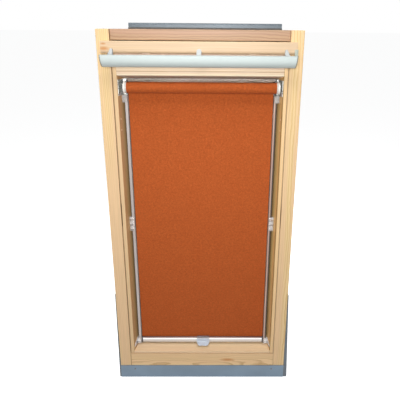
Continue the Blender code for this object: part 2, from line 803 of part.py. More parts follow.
def make_flap():
    """The flap board: rounded round its hinge axis, hollowed behind for each hinge block."""
    left, right = FLAP_OFFSET - FLAP_LENGTH / 2, FLAP_OFFSET + FLAP_LENGTH / 2
    nose = FLAP_THICKNESS / 2 * 0.98
    section = outline([
        (FLAP_FRONT, FLAP_TOP, RAIL_EDGE_ROUNDING / 2),
        (FLAP_FRONT, FLAP_BOTTOM, nose),
        (FLAP_BACK, FLAP_BOTTOM, nose),
        (FLAP_BACK, FLAP_TOP, WOOD_ROUNDING),
    ])
    flap = prism("vent_flap_board", section, "X", left, right)
    half = FLAP_HINGE_WIDTH / 2 + SEAT_GAP
    room = FLAP_BARREL_RADIUS + 2 * SEAT_GAP
    for side, x in flap_hinge_places():
        low = (x - half, FLAP_AXIS_Y - room, FLAP_BOTTOM - room)
        high = (x + half, FLAP_BACK + room, FLAP_AXIS_Z + room)
        cut(flap, box(side_name("hinge_notch", side), low, high))
        reach = half + FLAP_PIN_LENGTH
        start, end = (x - reach, FLAP_AXIS_Y, FLAP_AXIS_Z), (x + reach, FLAP_AXIS_Y, FLAP_AXIS_Z)
        cut(flap, rod(side_name("hinge_bore", side), start, end, FLAP_PIN_RADIUS + SEAT_GAP, 16))
    return keep(flap, "pine")


def make_flap_hinges():
    """Blocks on the top rail, each with a barrel and a pin that the flap turns on."""
    for side, x in flap_hinge_places():
        half = FLAP_HINGE_WIDTH / 2
        name = side_name("flap_hinge", side)
        start, end = (x - half, FLAP_AXIS_Y, FLAP_AXIS_Z), (x + half, FLAP_AXIS_Y, FLAP_AXIS_Z)
        barrel = rod(name, start, end, FLAP_BARREL_RADIUS)
        low = (x - half, FLAP_AXIS_Y, FLAP_AXIS_Z - FLAP_NECK / 2)
        high = (x + half, -SEAT_GAP, FLAP_AXIS_Z + FLAP_NECK / 2)
        join(barrel, box(name + "_neck", low, high))
        reach = half + FLAP_PIN_LENGTH
        start, end = (x - reach, FLAP_AXIS_Y, FLAP_AXIS_Z), (x + reach, FLAP_AXIS_Y, FLAP_AXIS_Z)
        join(barrel, rod(name + "_pin", start, end, FLAP_PIN_RADIUS, 16))
        keep(barrel, "grey_plastic")


def bar_outline(inset):
    """The control bar's D section in Y and Z: flat back, elliptical front, smaller by inset."""
    back = BAR_BACK - inset
    bulge = BAR_BULGE - 2 * inset
    half = BAR_HEIGHT / 2 - inset
    steps = 14
    points = []
    for index in range(steps + 1):
        angle = math.pi / 2 - math.pi * index / steps
        points.append((back - bulge * math.cos(angle), BAR_MIDDLE + half * math.sin(angle)))
    return points


def bar_end(side, shift):
    """A point and the outward normal of the slanted plane that ends the bar on one side."""
    point = (FLAP_OFFSET + side * (BAR_LENGTH / 2 + shift), 0.0, BAR_TOP)
    normal = (side * BAR_HEIGHT, 0.0, -BAR_END_SLANT)
    return point, normal


def slice_between(piece, side, near, far):
    """Keeps what lies between two planes parallel to the bar's slanted end."""
    point, normal = bar_end(side, far)
    slice_off(piece, point, normal)
    point, normal = bar_end(side, near)
    slice_off(piece, point, [-part for part in normal])


def make_control_bar():
    """The hollow bar and the slanted caps on its ends."""
    reach = BAR_LENGTH / 2 + 0.02
    left, right = FLAP_OFFSET - reach, FLAP_OFFSET + reach
    bar = prism("control_bar", bar_outline(0.0), "X", left, right, bar_outline(BAR_WALL))
    pieces = [bar]
    for side in (-1, 1):
        slice_off(bar, *bar_end(side, -BAR_CAP - SEAT_GAP))
        cap = prism(side_name("bar_cap", side), bar_outline(0.0), "X", left, right)
        slice_between(cap, side, -BAR_CAP, 0.0)
        pieces.append(keep(cap, "grey_plastic"))
    keep(bar, "aluminium")
    return pieces


def make_bar_arms():
    """Three arms from the flap's face down to the bar's back."""
    top = FLAP_AXIS_Z + ARM_ROOT
    face = FLAP_FRONT - SEAT_GAP
    back = BAR_BACK + SEAT_GAP
    section = [
        (face, top),
        (face, top - ARM_HEIGHT),
        (back, BAR_MIDDLE - ARM_ROOT / 2),
        (back, BAR_TOP - ARM_ROOT / 2),
        (face - ARM_ROOT, top, ARM_ROOT / 2),
    ]
    arms = []
    reach = BAR_LENGTH / 2 - ARM_INSET
    places = (("left", -reach, ARM_WIDTH), ("middle", 0.0, MIDDLE_ARM_WIDTH), ("right", reach, ARM_WIDTH))
    for word, x, width in places:
        side = math.copysign(1, x)
        near, far = x + FLAP_OFFSET - side * width / 2, x + FLAP_OFFSET + side * width / 2
        arm = prism("bar_bracket_" + word, outline(section), "X", min(near, far), max(near, far))
        if x:
            slice_off(arm, (far, 0.0, BAR_TOP), (side * ARM_HEIGHT, 0.0, ARM_WIDTH / 2))
        arms.append(keep(arm, "aluminium"))
    return arms


def make_flap_clip():
    """The small angle clip round the flap's right end."""
    end = FLAP_OFFSET + FLAP_LENGTH / 2
    face = FLAP_FRONT - SEAT_GAP
    outer = end + SEAT_GAP + CLIP_SHEET
    section = [
        (end - CLIP_WIDTH, face),
        (end - CLIP_WIDTH, face - CLIP_SHEET),
        (outer, face - CLIP_SHEET),
        (outer, face + CLIP_RETURN),
        (outer - CLIP_SHEET, face + CLIP_RETURN),
        (outer - CLIP_SHEET, face),
    ]
    top = FLAP_AXIS_Z + ARM_ROOT
    clip = prism("flap_end_clip", section, "Z", top - CLIP_HEIGHT, top)
    return keep(clip, "grey_plastic")


# Roller blind: roller


def make_roller_tube():
    inner = TUBE_RADIUS - TUBE_WALL
    half = ROLL_HALF
    profile = [(TUBE_RADIUS, half), (TUBE_RADIUS, -half), (inner, -half), (inner, half)]
    return keep(turned("roller_tube", profile, ROLLER_CENTRE), "aluminium")


def make_cloth_roll():
    """The turns of cloth left on the tube when the blind is drawn down."""
    inner = TUBE_RADIUS + SEAT_GAP
    half = ROLL_HALF
    profile = [(ROLL_RADIUS, half), (ROLL_RADIUS, -half), (inner, -half), (inner, half)]
    return keep(turned("cloth_roll", profile, ROLLER_CENTRE, steps=48), "cloth")


def make_idle_plug():
    """The left plug, whose pin turns in the left holder."""
    boss = TUBE_RADIUS - TUBE_WALL - SEAT_GAP
    near, far = ROLL_HALF + SEAT_GAP, PLUG_END
    profile = [
        (0.0, HOLDER_HALF + AXLE_ENTRY),
        (AXLE_RADIUS, HOLDER_HALF + AXLE_ENTRY),
        (AXLE_RADIUS, far),
        (PLUG_FLANGE_RADIUS, far),
        (PLUG_FLANGE_RADIUS, near),
        (boss, near),
        (boss, near - PLUG_LENGTH),
        (0.0, near - PLUG_LENGTH),
    ]
    return keep(turned("roller_plug_left", profile, ROLLER_CENTRE, side=-1), "grey_plastic")


def make_spring_plug():
    """The right plug, which turns on the fixed shaft and drives the spring."""
    boss = TUBE_RADIUS - TUBE_WALL - SEAT_GAP
    bore = AXLE_RADIUS + SEAT_GAP
    near, far = ROLL_HALF + SEAT_GAP, PLUG_END
    profile = [
        (PLUG_FLANGE_RADIUS, far),
        (PLUG_FLANGE_RADIUS, near),
        (boss, near),
        (boss, near - PLUG_LENGTH),
        (bore, near - PLUG_LENGTH),
        (bore, far),
    ]
    return keep(turned("roller_plug_right", profile, ROLLER_CENTRE), "grey_plastic")


def shaft_end():
    return HOLDER_HALF + AXLE_ENTRY - SHAFT_LENGTH


def make_spring_shaft():
    """The fixed shaft from the right holder, with the collar that holds the spring's far end."""
    inner = shaft_end()
    profile = [
        (0.0, HOLDER_HALF + AXLE_ENTRY),
        (AXLE_RADIUS, HOLDER_HALF + AXLE_ENTRY),
        (AXLE_RADIUS, inner + COLLAR_THICKNESS),
        (COLLAR_RADIUS, inner + COLLAR_THICKNESS),
        (COLLAR_RADIUS, inner),
        (0.0, inner),
    ]
    return keep(turned("spring_shaft", profile, ROLLER_CENTRE, steps=24), "steel")


def make_torsion_spring():
    """An open coil round the shaft, between the spring plug and the collar."""
    margin = SPRING_WIRE + SEAT_GAP
    start = ROLLER_OFFSET + shaft_end() + COLLAR_THICKNESS + margin
    end = ROLLER_OFFSET + ROLL_HALF + SEAT_GAP - PLUG_LENGTH - margin
    per_turn = 10
    count = SPRING_TURNS * per_turn
    curve = bpy.data.curves.new("torsion_spring", "CURVE")
    curve.dimensions = "3D"
    curve.bevel_depth = SPRING_WIRE
    curve.bevel_resolution = 1
    curve.use_fill_caps = True
    spline = curve.splines.new("POLY")
    spline.points.add(count)
    for index, point in enumerate(spline.points):
        angle = 2 * math.pi * index / per_turn
        x = start + (end - start) * index / count
        y = ROLLER_DEPTH + SPRING_RADIUS * math.cos(angle)
        z = ROLLER_Z + SPRING_RADIUS * math.sin(angle)
        point.co = (x, y, z, 1.0)
    drawn = bpy.data.objects.new("torsion_spring_path", curve)
    bpy.context.scene.collection.objects.link(drawn)
    gap = (end - start) / SPRING_TURNS - 2 * SPRING_WIRE
    print("torsion spring: least gap between turns %.2f mm" % (gap * 1000))
    return keep(meshed(drawn, "torsion_spring"), "steel")


# Roller blind: brackets


def plate_screw_heights():
    return (ROLLER_Z - PLATE_SCREW_SPACING / 2, ROLLER_Z + PLATE_SCREW_SPACING / 2)


def reveal_point(side, along, off, height):
    """A point at a distance along the side reveal from its front edge, and off its surface."""
    length = math.hypot(REVEAL_SPLAY, REVEAL_DEPTH)
    run = Vector((-REVEAL_SPLAY, REVEAL_DEPTH)) / length
    out = Vector((-REVEAL_DEPTH, -REVEAL_SPLAY)) / length
    place = Vector((OPENING_HALF, 0.0)) + run * along + out * off
    return (side * place.x, place.y, height)


def reveal_x(depth, off):
    """The side reveal's X at a depth, for a face that lies off its surface."""
    lean = math.hypot(REVEAL_SPLAY, REVEAL_DEPTH) / REVEAL_DEPTH
    return OPENING_HALF - REVEAL_SPLAY * depth / REVEAL_DEPTH - off * lean


def make_roller_plate(side):
    """The steel angle: one leg is screwed to the reveal, the other carries the holder."""
    near, far = SEAT_GAP, SEAT_GAP + PLATE_THICKNESS
    shelf = PLATE_BACK - PLATE_THICKNESS
    tip = HOLDER_HALF + side * ROLLER_OFFSET
    section = [
        (reveal_x(PLATE_FRONT, near), PLATE_FRONT),
        (reveal_x(PLATE_BACK, near), PLATE_BACK),
        (tip, PLATE_BACK),
        (tip, shelf),
        (reveal_x(shelf, far), shelf),
        (reveal_x(PLATE_FRONT, far), PLATE_FRONT),
    ]
    half = PLATE_HEIGHT / 2
    name = side_name("roller_plate", side)
    plate = prism(name, mirrored(section, side), "Z", ROLLER_Z - half, ROLLER_Z + half)
    for index, height in enumerate(plate_screw_heights()):
        start = reveal_point(side, PLATE_SCREW_FRONT, 0.01, height)
        end = reveal_point(side, PLATE_SCREW_FRONT, -0.01, height)
        name = side_name("plate_hole_%d" % index, side)
        cut(plate, rod(name, start, end, SCREW_RADIUS + SEAT_GAP, 16))
    return keep(plate, "steel")


def make_plate_screws(side):
    """The two screws of a roller plate, square to the splayed reveal."""
    slope = math.atan2(REVEAL_SPLAY, REVEAL_DEPTH)
    for word, height in zip(("lower", "upper"), plate_screw_heights()):
        seat = reveal_point(side, PLATE_SCREW_FRONT, 2 * SEAT_GAP + PLATE_THICKNESS, height)
        name = side_name("bracket_screw_" + word, side)
        screw = turned(name, wood_screw_profile(), seat, side, steps=16)
        screw.rotation_euler = (0.0, side * math.pi / 2, side * slope)
        keep(screw, "steel")


def holder_outline():
    """The holder in Y and Z: round in front, straight back to the plate's shelf."""
    back = PLATE_BACK - PLATE_THICKNESS - SEAT_GAP
    steps = 20
    points = []
    for index in range(steps + 1):
        angle = math.pi / 2 + math.pi * index / steps
        y = ROLLER_DEPTH + HOLDER_RADIUS * math.cos(angle)
        points.append((y, ROLLER_Z + HOLDER_RADIUS * math.sin(angle)))
    return [*points, (back, ROLLER_Z - HOLDER_RADIUS), (back, ROLLER_Z + HOLDER_RADIUS)]


def plate_clearance(side):
    """The room of the reveal, the plate and its screw heads, beside the holder."""
    margin = 0.01
    off = 3 * SEAT_GAP + PLATE_THICKNESS + SCREW_HEAD_HEIGHT
    section = [
        (reveal_x(-margin, off), -margin),
        (OPENING_HALF + margin, -margin),
        (OPENING_HALF + margin, REVEAL_DEPTH),
        (reveal_x(REVEAL_DEPTH, off), REVEAL_DEPTH),
    ]
    reach = HOLDER_RADIUS + margin
    name = side_name("plate_clearance", side)
    return prism(name, mirrored(section, side), "Z", ROLLER_Z - reach, ROLLER_Z + reach)


def make_holder(side):
    """The plastic holder on the plate's shelf, with the bore for the roller's pin or shaft."""
    near = ROLLER_OFFSET + side * HOLDER_HALF
    far = near + side * HOLDER_WIDTH
    name = side_name("roller_holder", side)
    holder = prism(name, holder_outline(), "X", min(near, far), max(near, far))
    round_edges(holder, HOLDER_ROUNDING)
    cut(holder, plate_clearance(side))
    start = (near - side * 0.01, ROLLER_DEPTH, ROLLER_Z)
    end = (near + side * (AXLE_ENTRY + SEAT_GAP), ROLLER_DEPTH, ROLLER_Z)
    cut(holder, rod(side_name("holder_bore", side), start, end, AXLE_RADIUS + SEAT_GAP, 32))
    return keep(holder, "white_plastic")


# Roller blind: guide rails


def rail_outline(side):
    """The rail's channel section in X and Y, with its slot towards the cloth."""
    inner, outer = RAIL_INNER_FACE, RAIL_OUTER_FACE
    slot = RAIL_SLOT / 2
    wall = RAIL_WALL
    section = outline([
        (inner, CLOTH_Y - slot),
        (inner, RAIL_FRONT, RAIL_ROUNDING),
        (outer, RAIL_FRONT, RAIL_ROUNDING),
        (outer, RAIL_BACK),
        (inner, RAIL_BACK),
        (inner, CLOTH_Y + slot),
        (inner + wall, CLOTH_Y + slot),
        (inner + wall, RAIL_BACK - wall),
        (outer - wall, RAIL_BACK - wall),
        (outer - wall, RAIL_FRONT + wall),
        (inner + wall, RAIL_FRONT + wall),
        (inner + wall, CLOTH_Y - slot),
    ])
    return mirrored(section, side)


def make_guide_rail(side):
    rail = prism(side_name("guide_rail", side), rail_outline(side), "Z", RAIL_BOTTOM, RAIL_TOP)
    return keep(rail, "aluminium")


def rail_holder_outline(side, tab=False):
    """A holder in X and Y that wraps the rail. With a tab, it also lies on the reveal in front."""
    front = RAIL_FRONT - SEAT_GAP - RAIL_HOLDER_WALL
    back = RAIL_BACK + SEAT_GAP + RAIL_HOLDER_WALL
    tip = RAIL_INNER_FACE + RAIL_HOLDER_SETBACK
    thick = SEAT_GAP + RAIL_HOLDER_FLANGE
    inside = [(reveal_x(back, SEAT_GAP), back), (tip, back), (tip, front, RAIL_ROUNDING)]
    beside = [(reveal_x(front, SEAT_GAP), front)]
    if tab:
        beside = [
            (reveal_x(front, thick), front),
            (reveal_x(RAIL_HOLDER_FRONT, thick), RAIL_HOLDER_FRONT),
            (reveal_x(RAIL_HOLDER_FRONT, SEAT_GAP), RAIL_HOLDER_FRONT),
        ]
    return mirrored(outline([*inside, *beside]), side)


def rail_room(name, side, low, high):
    """The room that a rail takes up in its holders, as a box open towards the cloth."""
    outer = RAIL_OUTER_FACE + SEAT_GAP
    near = (side * (RAIL_INNER_FACE - 0.01), RAIL_FRONT - SEAT_GAP, low)
    far = (side * outer, RAIL_BACK + SEAT_GAP, high)
    return box(side_name(name, side), near, far)


def make_rail_holders(side):
    """The cap on the rail's top, the clip at its middle and the foot at its bottom."""
    section = rail_holder_outline(side)
    margin = 0.01
    cap_top = RAIL_TOP + SEAT_GAP + TOP_CAP_ROOF
    cap = prism(side_name("rail_top_cap", side), section, "Z", cap_top - TOP_CAP_HEIGHT, cap_top)
    cut(cap, rail_room("cap_room", side, cap_top - TOP_CAP_HEIGHT - margin, RAIL_TOP + SEAT_GAP))
    keep(cap, "grey_plastic")
    low, high = MIDDLE_CLIP_Z - MIDDLE_CLIP_HEIGHT / 2, MIDDLE_CLIP_Z + MIDDLE_CLIP_HEIGHT / 2
    clip = prism(side_name("rail_middle_clip", side), section, "Z", low, high)
    cut(clip, rail_room("clip_room", side, low - margin, high + margin))
    keep(clip, "clear_plastic")
    make_rail_foot(side)


def make_rail_foot(side):
    """The rail's foot. Its tab slopes down along the reveal to the front."""
    low, high = RAIL_BOTTOM, RAIL_BOTTOM + FOOT_HEIGHT
    section = rail_holder_outline(side, tab=True)
    foot = prism(side_name("rail_foot", side), section, "Z", low, high)
    front = RAIL_FRONT - SEAT_GAP - RAIL_HOLDER_WALL
    slope = (FOOT_HEIGHT - FOOT_TAB_HEIGHT) / (front - RAIL_HOLDER_FRONT)
    slice_off(foot, (0.0, front, high), (0.0, -slope, 1.0))
    cut(foot, rail_room("foot_room", side, low - FOOT_HEIGHT, high + FOOT_HEIGHT))
    keep(foot, "clear_plastic")


# Roller blind: cloth and bottom bar


def make_cloth():
    """The hanging cloth, from the back of the roll down into the bottom bar's slot."""
    half = CLOTH_THICKNESS / 2
    bottom = BAR_TOP_Z - CLOTH_SLOT_DEPTH + SEAT_GAP
    low, high = (-CLOTH_HALF, CLOTH_Y - half, bottom), (CLOTH_HALF, CLOTH_Y + half, ROLLER_Z)
    return keep(box("cloth_panel", low, high), "cloth")


def make_bottom_bar():
    """The hollow bar with the slot that grips the cloth's hem."""
    front, back = CLOTH_Y - BOTTOM_BAR_DEPTH / 2, CLOTH_Y + BOTTOM_BAR_DEPTH / 2
    low, high = BOTTOM_BAR_Z, BAR_TOP_Z
    slot = CLOTH_SLOT_WIDTH / 2
    rounding = BOTTOM_BAR_ROUNDING
    section = outline([
        (front, low, rounding),
        (back, low),
        (back, high),
        (CLOTH_Y + slot, high),
        (CLOTH_Y + slot, high - CLOTH_SLOT_DEPTH),
        (CLOTH_Y - slot, high - CLOTH_SLOT_DEPTH),
        (CLOTH_Y - slot, high),
        (front, high, rounding),
    ])
    wall = BOTTOM_BAR_WALL
    ceiling = high - CLOTH_SLOT_DEPTH - wall
    hollow = [(front + wall, low + rounding), (back - wall, low + rounding), (back - wall, ceiling),
              (front + wall, ceiling)]
    bar = prism("bottom_bar", section, "X", -BOTTOM_BAR_HALF, BOTTOM_BAR_HALF, hollow)
    return keep(bar, "aluminium")


def make_bar_guide(side):
    """The end piece whose shoe runs in the rail's channel."""
    face = BOTTOM_BAR_HALF + SEAT_GAP
    flange = face + GUIDE_FLANGE
    room = (RAIL_WIDTH - 2 * RAIL_WALL - GUIDE_SHOE_WIDTH) / 2
    shoe = RAIL_INNER_FACE + RAIL_WALL + room
    tip = shoe + GUIDE_SHOE_WIDTH
    half_bar, half_neck, half_shoe = BOTTOM_BAR_DEPTH / 2, GUIDE_NECK / 2, GUIDE_SHOE_DEPTH / 2
    section = [
        (face, CLOTH_Y - half_bar),
        (flange, CLOTH_Y - half_bar),
        (flange, CLOTH_Y - half_neck),
        (shoe, CLOTH_Y - half_neck),
        (shoe, CLOTH_Y - half_shoe),
        (tip, CLOTH_Y - half_shoe),
        (tip, CLOTH_Y + half_shoe),
        (shoe, CLOTH_Y + half_shoe),
        (shoe, CLOTH_Y + half_neck),
        (flange, CLOTH_Y + half_neck),
        (flange, CLOTH_Y + half_bar),
        (face, CLOTH_Y + half_bar),
    ]
    low, high = BOTTOM_BAR_Z + GUIDE_END_INSET, BAR_TOP_Z - GUIDE_END_INSET
    guide = prism(side_name("bar_guide", side), mirrored(section, side), "Z", low, high)
    return keep(guide, "grey_plastic")


def make_grip():
    """The grip clipped over the bar's front: a lip below curves out towards the room."""
    seat = CLOTH_Y - BOTTOM_BAR_DEPTH / 2 - SEAT_GAP
    top = BAR_TOP_Z + SEAT_GAP
    hook = CLOTH_Y - CLOTH_SLOT_WIDTH
    low = BOTTOM_BAR_Z - GRIP_DROP
    lip = seat - GRIP_LIP
    section = outline([
        (hook, top),
        (hook, top + GRIP_WALL),
        (seat - GRIP_WALL, top + GRIP_WALL, GRIP_WALL),
        (seat - GRIP_WALL, BOTTOM_BAR_Z + GRIP_CORNER, GRIP_CORNER),
        (lip, low + GRIP_WALL),
        (lip, low, GRIP_WALL / 3),
        (seat, BOTTOM_BAR_Z - SEAT_GAP),
        (seat, top),
    ])
    left, right = GRIP_OFFSET - GRIP_WIDTH / 2, GRIP_OFFSET + GRIP_WIDTH / 2
    grip = prism("pull_grip", section, "X", left, right)
    face = outline([
        (left + GRIP_TAPER, top + 2 * GRIP_WALL),
        (left, low - GRIP_WALL / 4, GRIP_CORNER),
        (right, low - GRIP_WALL / 4, GRIP_CORNER),
        (right - GRIP_TAPER, top + 2 * GRIP_WALL),
    ])
    trim(grip, prism("grip_outline", face, "Y", lip - 0.01, hook + 0.01))
    return keep(grip, "clear_plastic")


def smooth_round_pieces():
    """Smooth shading on every mesh, kept sharp at its real edges."""
    for piece in WINDOW.objects:
        if piece.type != "MESH":
            continue
        piece.data.shade_smooth()
        piece.data.set_sharp_from_angle(angle=math.radians(30))


def make_frame():
    make_head()
    make_sill()
    make_tray()
    make_hood()
    for side in (-1, 1):
        make_post(side)
        make_tray_screw(side)
        make_flashing(side)
        make_pivot_plate(side)


def make_sash():
    make_rails()
    make_glazing()
    make_glazing_covers()
    make_flap_hinges()
    make_spring_shaft()
    make_cloth()
    for side in (-1, 1):
        make_stile(side)
        make_roller_plate(side)
        make_plate_screws(side)
        make_holder(side)
        make_guide_rail(side)
        make_rail_holders(side)


def build():
    make_frame()
    before = set(WINDOW.objects)
    make_sash()
    sash_pieces = [piece for piece in WINDOW.objects if piece not in before]
    flap_pieces = [make_flap(), make_flap_clip(), *make_control_bar(), *make_bar_arms()]
    roller_pieces = [
        make_roller_tube(),
        make_cloth_roll(),
        make_idle_plug(),
        make_spring_plug(),
        make_torsion_spring(),
    ]
    bar_pieces = [make_bottom_bar(), make_grip(), make_bar_guide(-1), make_bar_guide(1)]
    smooth_round_pieces()
    bpy.context.view_layer.update()
    flap_axis = carry("flap_axis", (0.0, FLAP_AXIS_Y, FLAP_AXIS_Z), flap_pieces)
    roller_axis = carry("roller_axis", ROLLER_CENTRE, roller_pieces)
    bar_axis = carry("pull_bar_axis", (0.0, CLOTH_Y, BOTTOM_BAR_Z), bar_pieces)
    carry("sash_axis", (0.0, PIVOT_Y, PIVOT_Z), [*sash_pieces, flap_axis, roller_axis, bar_axis])


clear_scene()
WINDOW = new_collection("roof_window_with_blind")
GUIDES = new_collection("guides")
build()
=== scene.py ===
"""Looks of a pine roof window whose sash carries an orange roller blind in side rails."""
import math

import bpy
from mathutils import Matrix, Vector


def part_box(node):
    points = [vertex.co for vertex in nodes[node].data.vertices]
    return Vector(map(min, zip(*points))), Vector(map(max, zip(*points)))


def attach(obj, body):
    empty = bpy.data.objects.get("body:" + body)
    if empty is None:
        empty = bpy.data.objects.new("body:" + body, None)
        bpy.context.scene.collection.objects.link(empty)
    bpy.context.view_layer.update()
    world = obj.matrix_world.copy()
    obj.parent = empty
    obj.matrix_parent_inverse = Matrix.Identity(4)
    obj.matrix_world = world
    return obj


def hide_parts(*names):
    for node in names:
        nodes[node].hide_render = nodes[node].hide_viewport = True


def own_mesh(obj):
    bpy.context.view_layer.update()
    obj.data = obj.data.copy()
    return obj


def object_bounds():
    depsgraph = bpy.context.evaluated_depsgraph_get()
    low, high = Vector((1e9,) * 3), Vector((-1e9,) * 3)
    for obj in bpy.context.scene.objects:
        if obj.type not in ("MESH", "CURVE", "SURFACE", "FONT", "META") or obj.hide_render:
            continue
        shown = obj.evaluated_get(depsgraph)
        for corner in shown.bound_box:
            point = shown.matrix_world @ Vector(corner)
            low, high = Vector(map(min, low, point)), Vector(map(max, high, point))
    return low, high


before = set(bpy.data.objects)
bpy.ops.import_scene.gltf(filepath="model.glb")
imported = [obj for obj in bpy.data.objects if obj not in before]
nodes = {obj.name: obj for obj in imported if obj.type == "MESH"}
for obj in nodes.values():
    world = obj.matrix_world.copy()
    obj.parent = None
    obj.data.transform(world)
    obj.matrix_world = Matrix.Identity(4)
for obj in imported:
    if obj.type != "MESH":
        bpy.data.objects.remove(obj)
cad_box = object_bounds()


# The stand and the view
# The window stands upright on a pale floor, seen from the room, a little above the middle of
# the hood. The camera is held level from side to side and looks slightly down.
window_view = bpy.data.objects.new("window_view", bpy.data.cameras.new("window_view"))
bpy.context.scene.collection.objects.link(window_view)
eye = Vector((0.0612, -1.7090, 1.6069))
down, aside, lean = math.radians(18.299), math.radians(0.627), math.radians(0.486)
ahead = Vector((
    math.sin(aside) * math.cos(down),
    math.cos(aside) * math.cos(down),
    -math.sin(down),
))
level = ahead.cross(Vector((0.0, 0.0, 1.0))).normalized()
upward = level.cross(ahead)
across = math.cos(lean) * level + math.sin(lean) * upward
upright = math.cos(lean) * upward - math.sin(lean) * level
turned = Matrix((across, upright, -ahead)).transposed().to_4x4()
window_view.matrix_world = Matrix.Translation(eye) @ turned
window_view.data.sensor_width = 36.0
window_view.data.lens = 39.45
window_view.data.shift_x = -0.0515
window_view.data.shift_y = -0.0683
window_view.data.clip_start = 0.05
bpy.context.scene.camera = window_view

floor_level = cad_box[0][2] - 0.0004
bpy.ops.object.select_all(action="DESELECT")
bpy.ops.mesh.primitive_plane_add(size=400.0, location=(0.0, 0.0, floor_level))
floor = bpy.context.object
floor.name = "studio_floor"


def start_finish(name):
    """A new finish, its node tree and the shader of its surface."""
    finish = bpy.data.materials.new(name)
    finish.use_nodes = True
    return finish, finish.node_tree, finish.node_tree.nodes["Principled BSDF"]


def reckon(tree, operation, *values):
    """A sum on numbers or on the values of other nodes."""
    step = tree.nodes.new("ShaderNodeMath")
    step.operation = operation
    for index, value in enumerate(values):
        if isinstance(value, (int, float)):
            step.inputs[index].default_value = value
        else:
            tree.links.new(value, step.inputs[index])
    return step.outputs[0]


def white_to_the_eye(tree, seen, lit):
    """Mixes a shader that the camera, glass and metal see with one that lights the window."""
    path = tree.nodes.new("ShaderNodeLightPath")
    either = reckon(tree, "MAXIMUM", path.outputs["Is Camera Ray"], path.outputs["Is Glossy Ray"])
    any_of = reckon(tree, "MAXIMUM", either, path.outputs["Is Transmission Ray"])
    choice = tree.nodes.new("ShaderNodeMixShader")
    tree.links.new(any_of, choice.inputs[0])
    tree.links.new(lit, choice.inputs[1])
    tree.links.new(seen, choice.inputs[2])
    return choice.outputs[0]


floor_white, tree, paint = start_finish("studio_floor_white")
paint.inputs["Base Color"].default_value = (0.78, 0.78, 0.78, 1.0)
paint.inputs["Roughness"].default_value = 0.9
paint.inputs["Specular IOR Level"].default_value = 0.0
glow = tree.nodes.new("ShaderNodeEmission")
glow.inputs["Strength"].default_value = 0.90
both = tree.nodes.new("ShaderNodeAddShader")
tree.links.new(paint.outputs[0], both.inputs[0])
tree.links.new(glow.outputs[0], both.inputs[1])
shown = white_to_the_eye(tree, both.outputs[0], paint.outputs[0])
tree.links.new(shown, tree.nodes["Material Output"].inputs["Surface"])
floor.data.materials.append(floor_white)

studio = bpy.data.worlds.new("studio_air")
studio.use_nodes = True
bpy.context.scene.world = studio
tree = studio.node_tree
soft_air = tree.nodes["Background"]
soft_air.inputs["Color"].default_value = (0.96, 0.98, 1.0, 1.0)
soft_air.inputs["Strength"].default_value = 0.09
white_air = tree.nodes.new("ShaderNodeBackground")
white_air.inputs["Color"].default_value = (1.0, 1.0, 1.0, 1.0)
white_air.inputs["Strength"].default_value = 1.0
shown = white_to_the_eye(tree, white_air.outputs[0], soft_air.outputs[0])
tree.links.new(shown, tree.nodes["World Output"].inputs["Surface"])


def soft_lamp(name, place, target, size, watts, colour, spread=180):
    """A square lamp that looks at its target and fills an angle of spread degrees."""
    lamp = bpy.data.objects.new(name, bpy.data.lights.new(name, "AREA"))
    bpy.context.scene.collection.objects.link(lamp)
    lamp.data.shape = "SQUARE"
    lamp.data.size = size
    lamp.data.energy = watts
    lamp.data.color = colour
    lamp.data.spread = math.radians(spread)
    lamp.location = place
    lamp.rotation_euler = (Vector(target) - Vector(place)).to_track_quat("-Z", "Y").to_euler()
    return lamp


soft_lamp("lamp_left", (-0.12, -2.6, 1.80), (0.0, 0.0, 1.22), size=0.8, watts=8.1,
          colour=(1.0, 0.985, 0.95), spread=80)
soft_lamp("lamp_right", (0.28, -2.6, 1.75), (0.0, 0.0, 1.18), size=0.8, watts=3.5,
          colour=(1.0, 0.995, 0.98), spread=80)
soft_lamp("lamp_above", (-0.1, -0.75, 3.0), (0.0, 0.0, 1.5), size=1.0, watts=28.0,
          colour=(1.0, 1.0, 1.0))
for name, place, watts in (
    ("lamp_behind", (0.7, 2.7, 2.1), 24.0),
    ("lamp_side_left", (-2.6, 0.9, 1.6), 14.0),
    ("lamp_side_right", (2.6, 0.9, 1.6), 14.0),
):
    lamp = soft_lamp(name, place, (0.0, 0.05, 0.9), size=1.4, watts=watts,
                     colour=(1.0, 1.0, 1.0), spread=150)
    lamp.visible_glossy = False
bpy.context.scene.view_settings.view_transform = "Standard"


# Frame timber
# Two posts, the set-back head and the sill are planed pine under a clear matt lacquer. The
# rings run along each member, and the paler and pinker boards are glued side by side. The
# posts' inner edges carry a brown line of painted shade for the dark gap to head, sill and
# sash, darker and wider on the left post than on the right.
ACROSS = {"X": (0, 1, 1), "Z": (1, 1, 0)}


def own_place(tree):
    """Places in the piece's own space, which stay with it as it moves."""
    return tree.nodes.new("ShaderNodeTexCoord").outputs["Object"]


def grain_space(tree, along, fine, long):
    """The piece's own places squeezed along the grain, for a pattern that is fine across it."""
    squeeze = tree.nodes.new("ShaderNodeMapping")
    squeeze.inputs["Scale"].default_value = [fine if cross else long for cross in ACROSS[along]]
    tree.links.new(own_place(tree), squeeze.inputs["Vector"])
    return squeeze.outputs["Vector"]


def speckle(tree, space, detail, scale=1.0, output="Fac"):
    """Soft noise from 0 to 1; the output Color is three of them at once."""
    noise = tree.nodes.new("ShaderNodeTexNoise")
    noise.inputs["Scale"].default_value = scale
    noise.inputs["Detail"].default_value = detail
    tree.links.new(space, noise.inputs["Vector"])
    return noise.outputs[output]


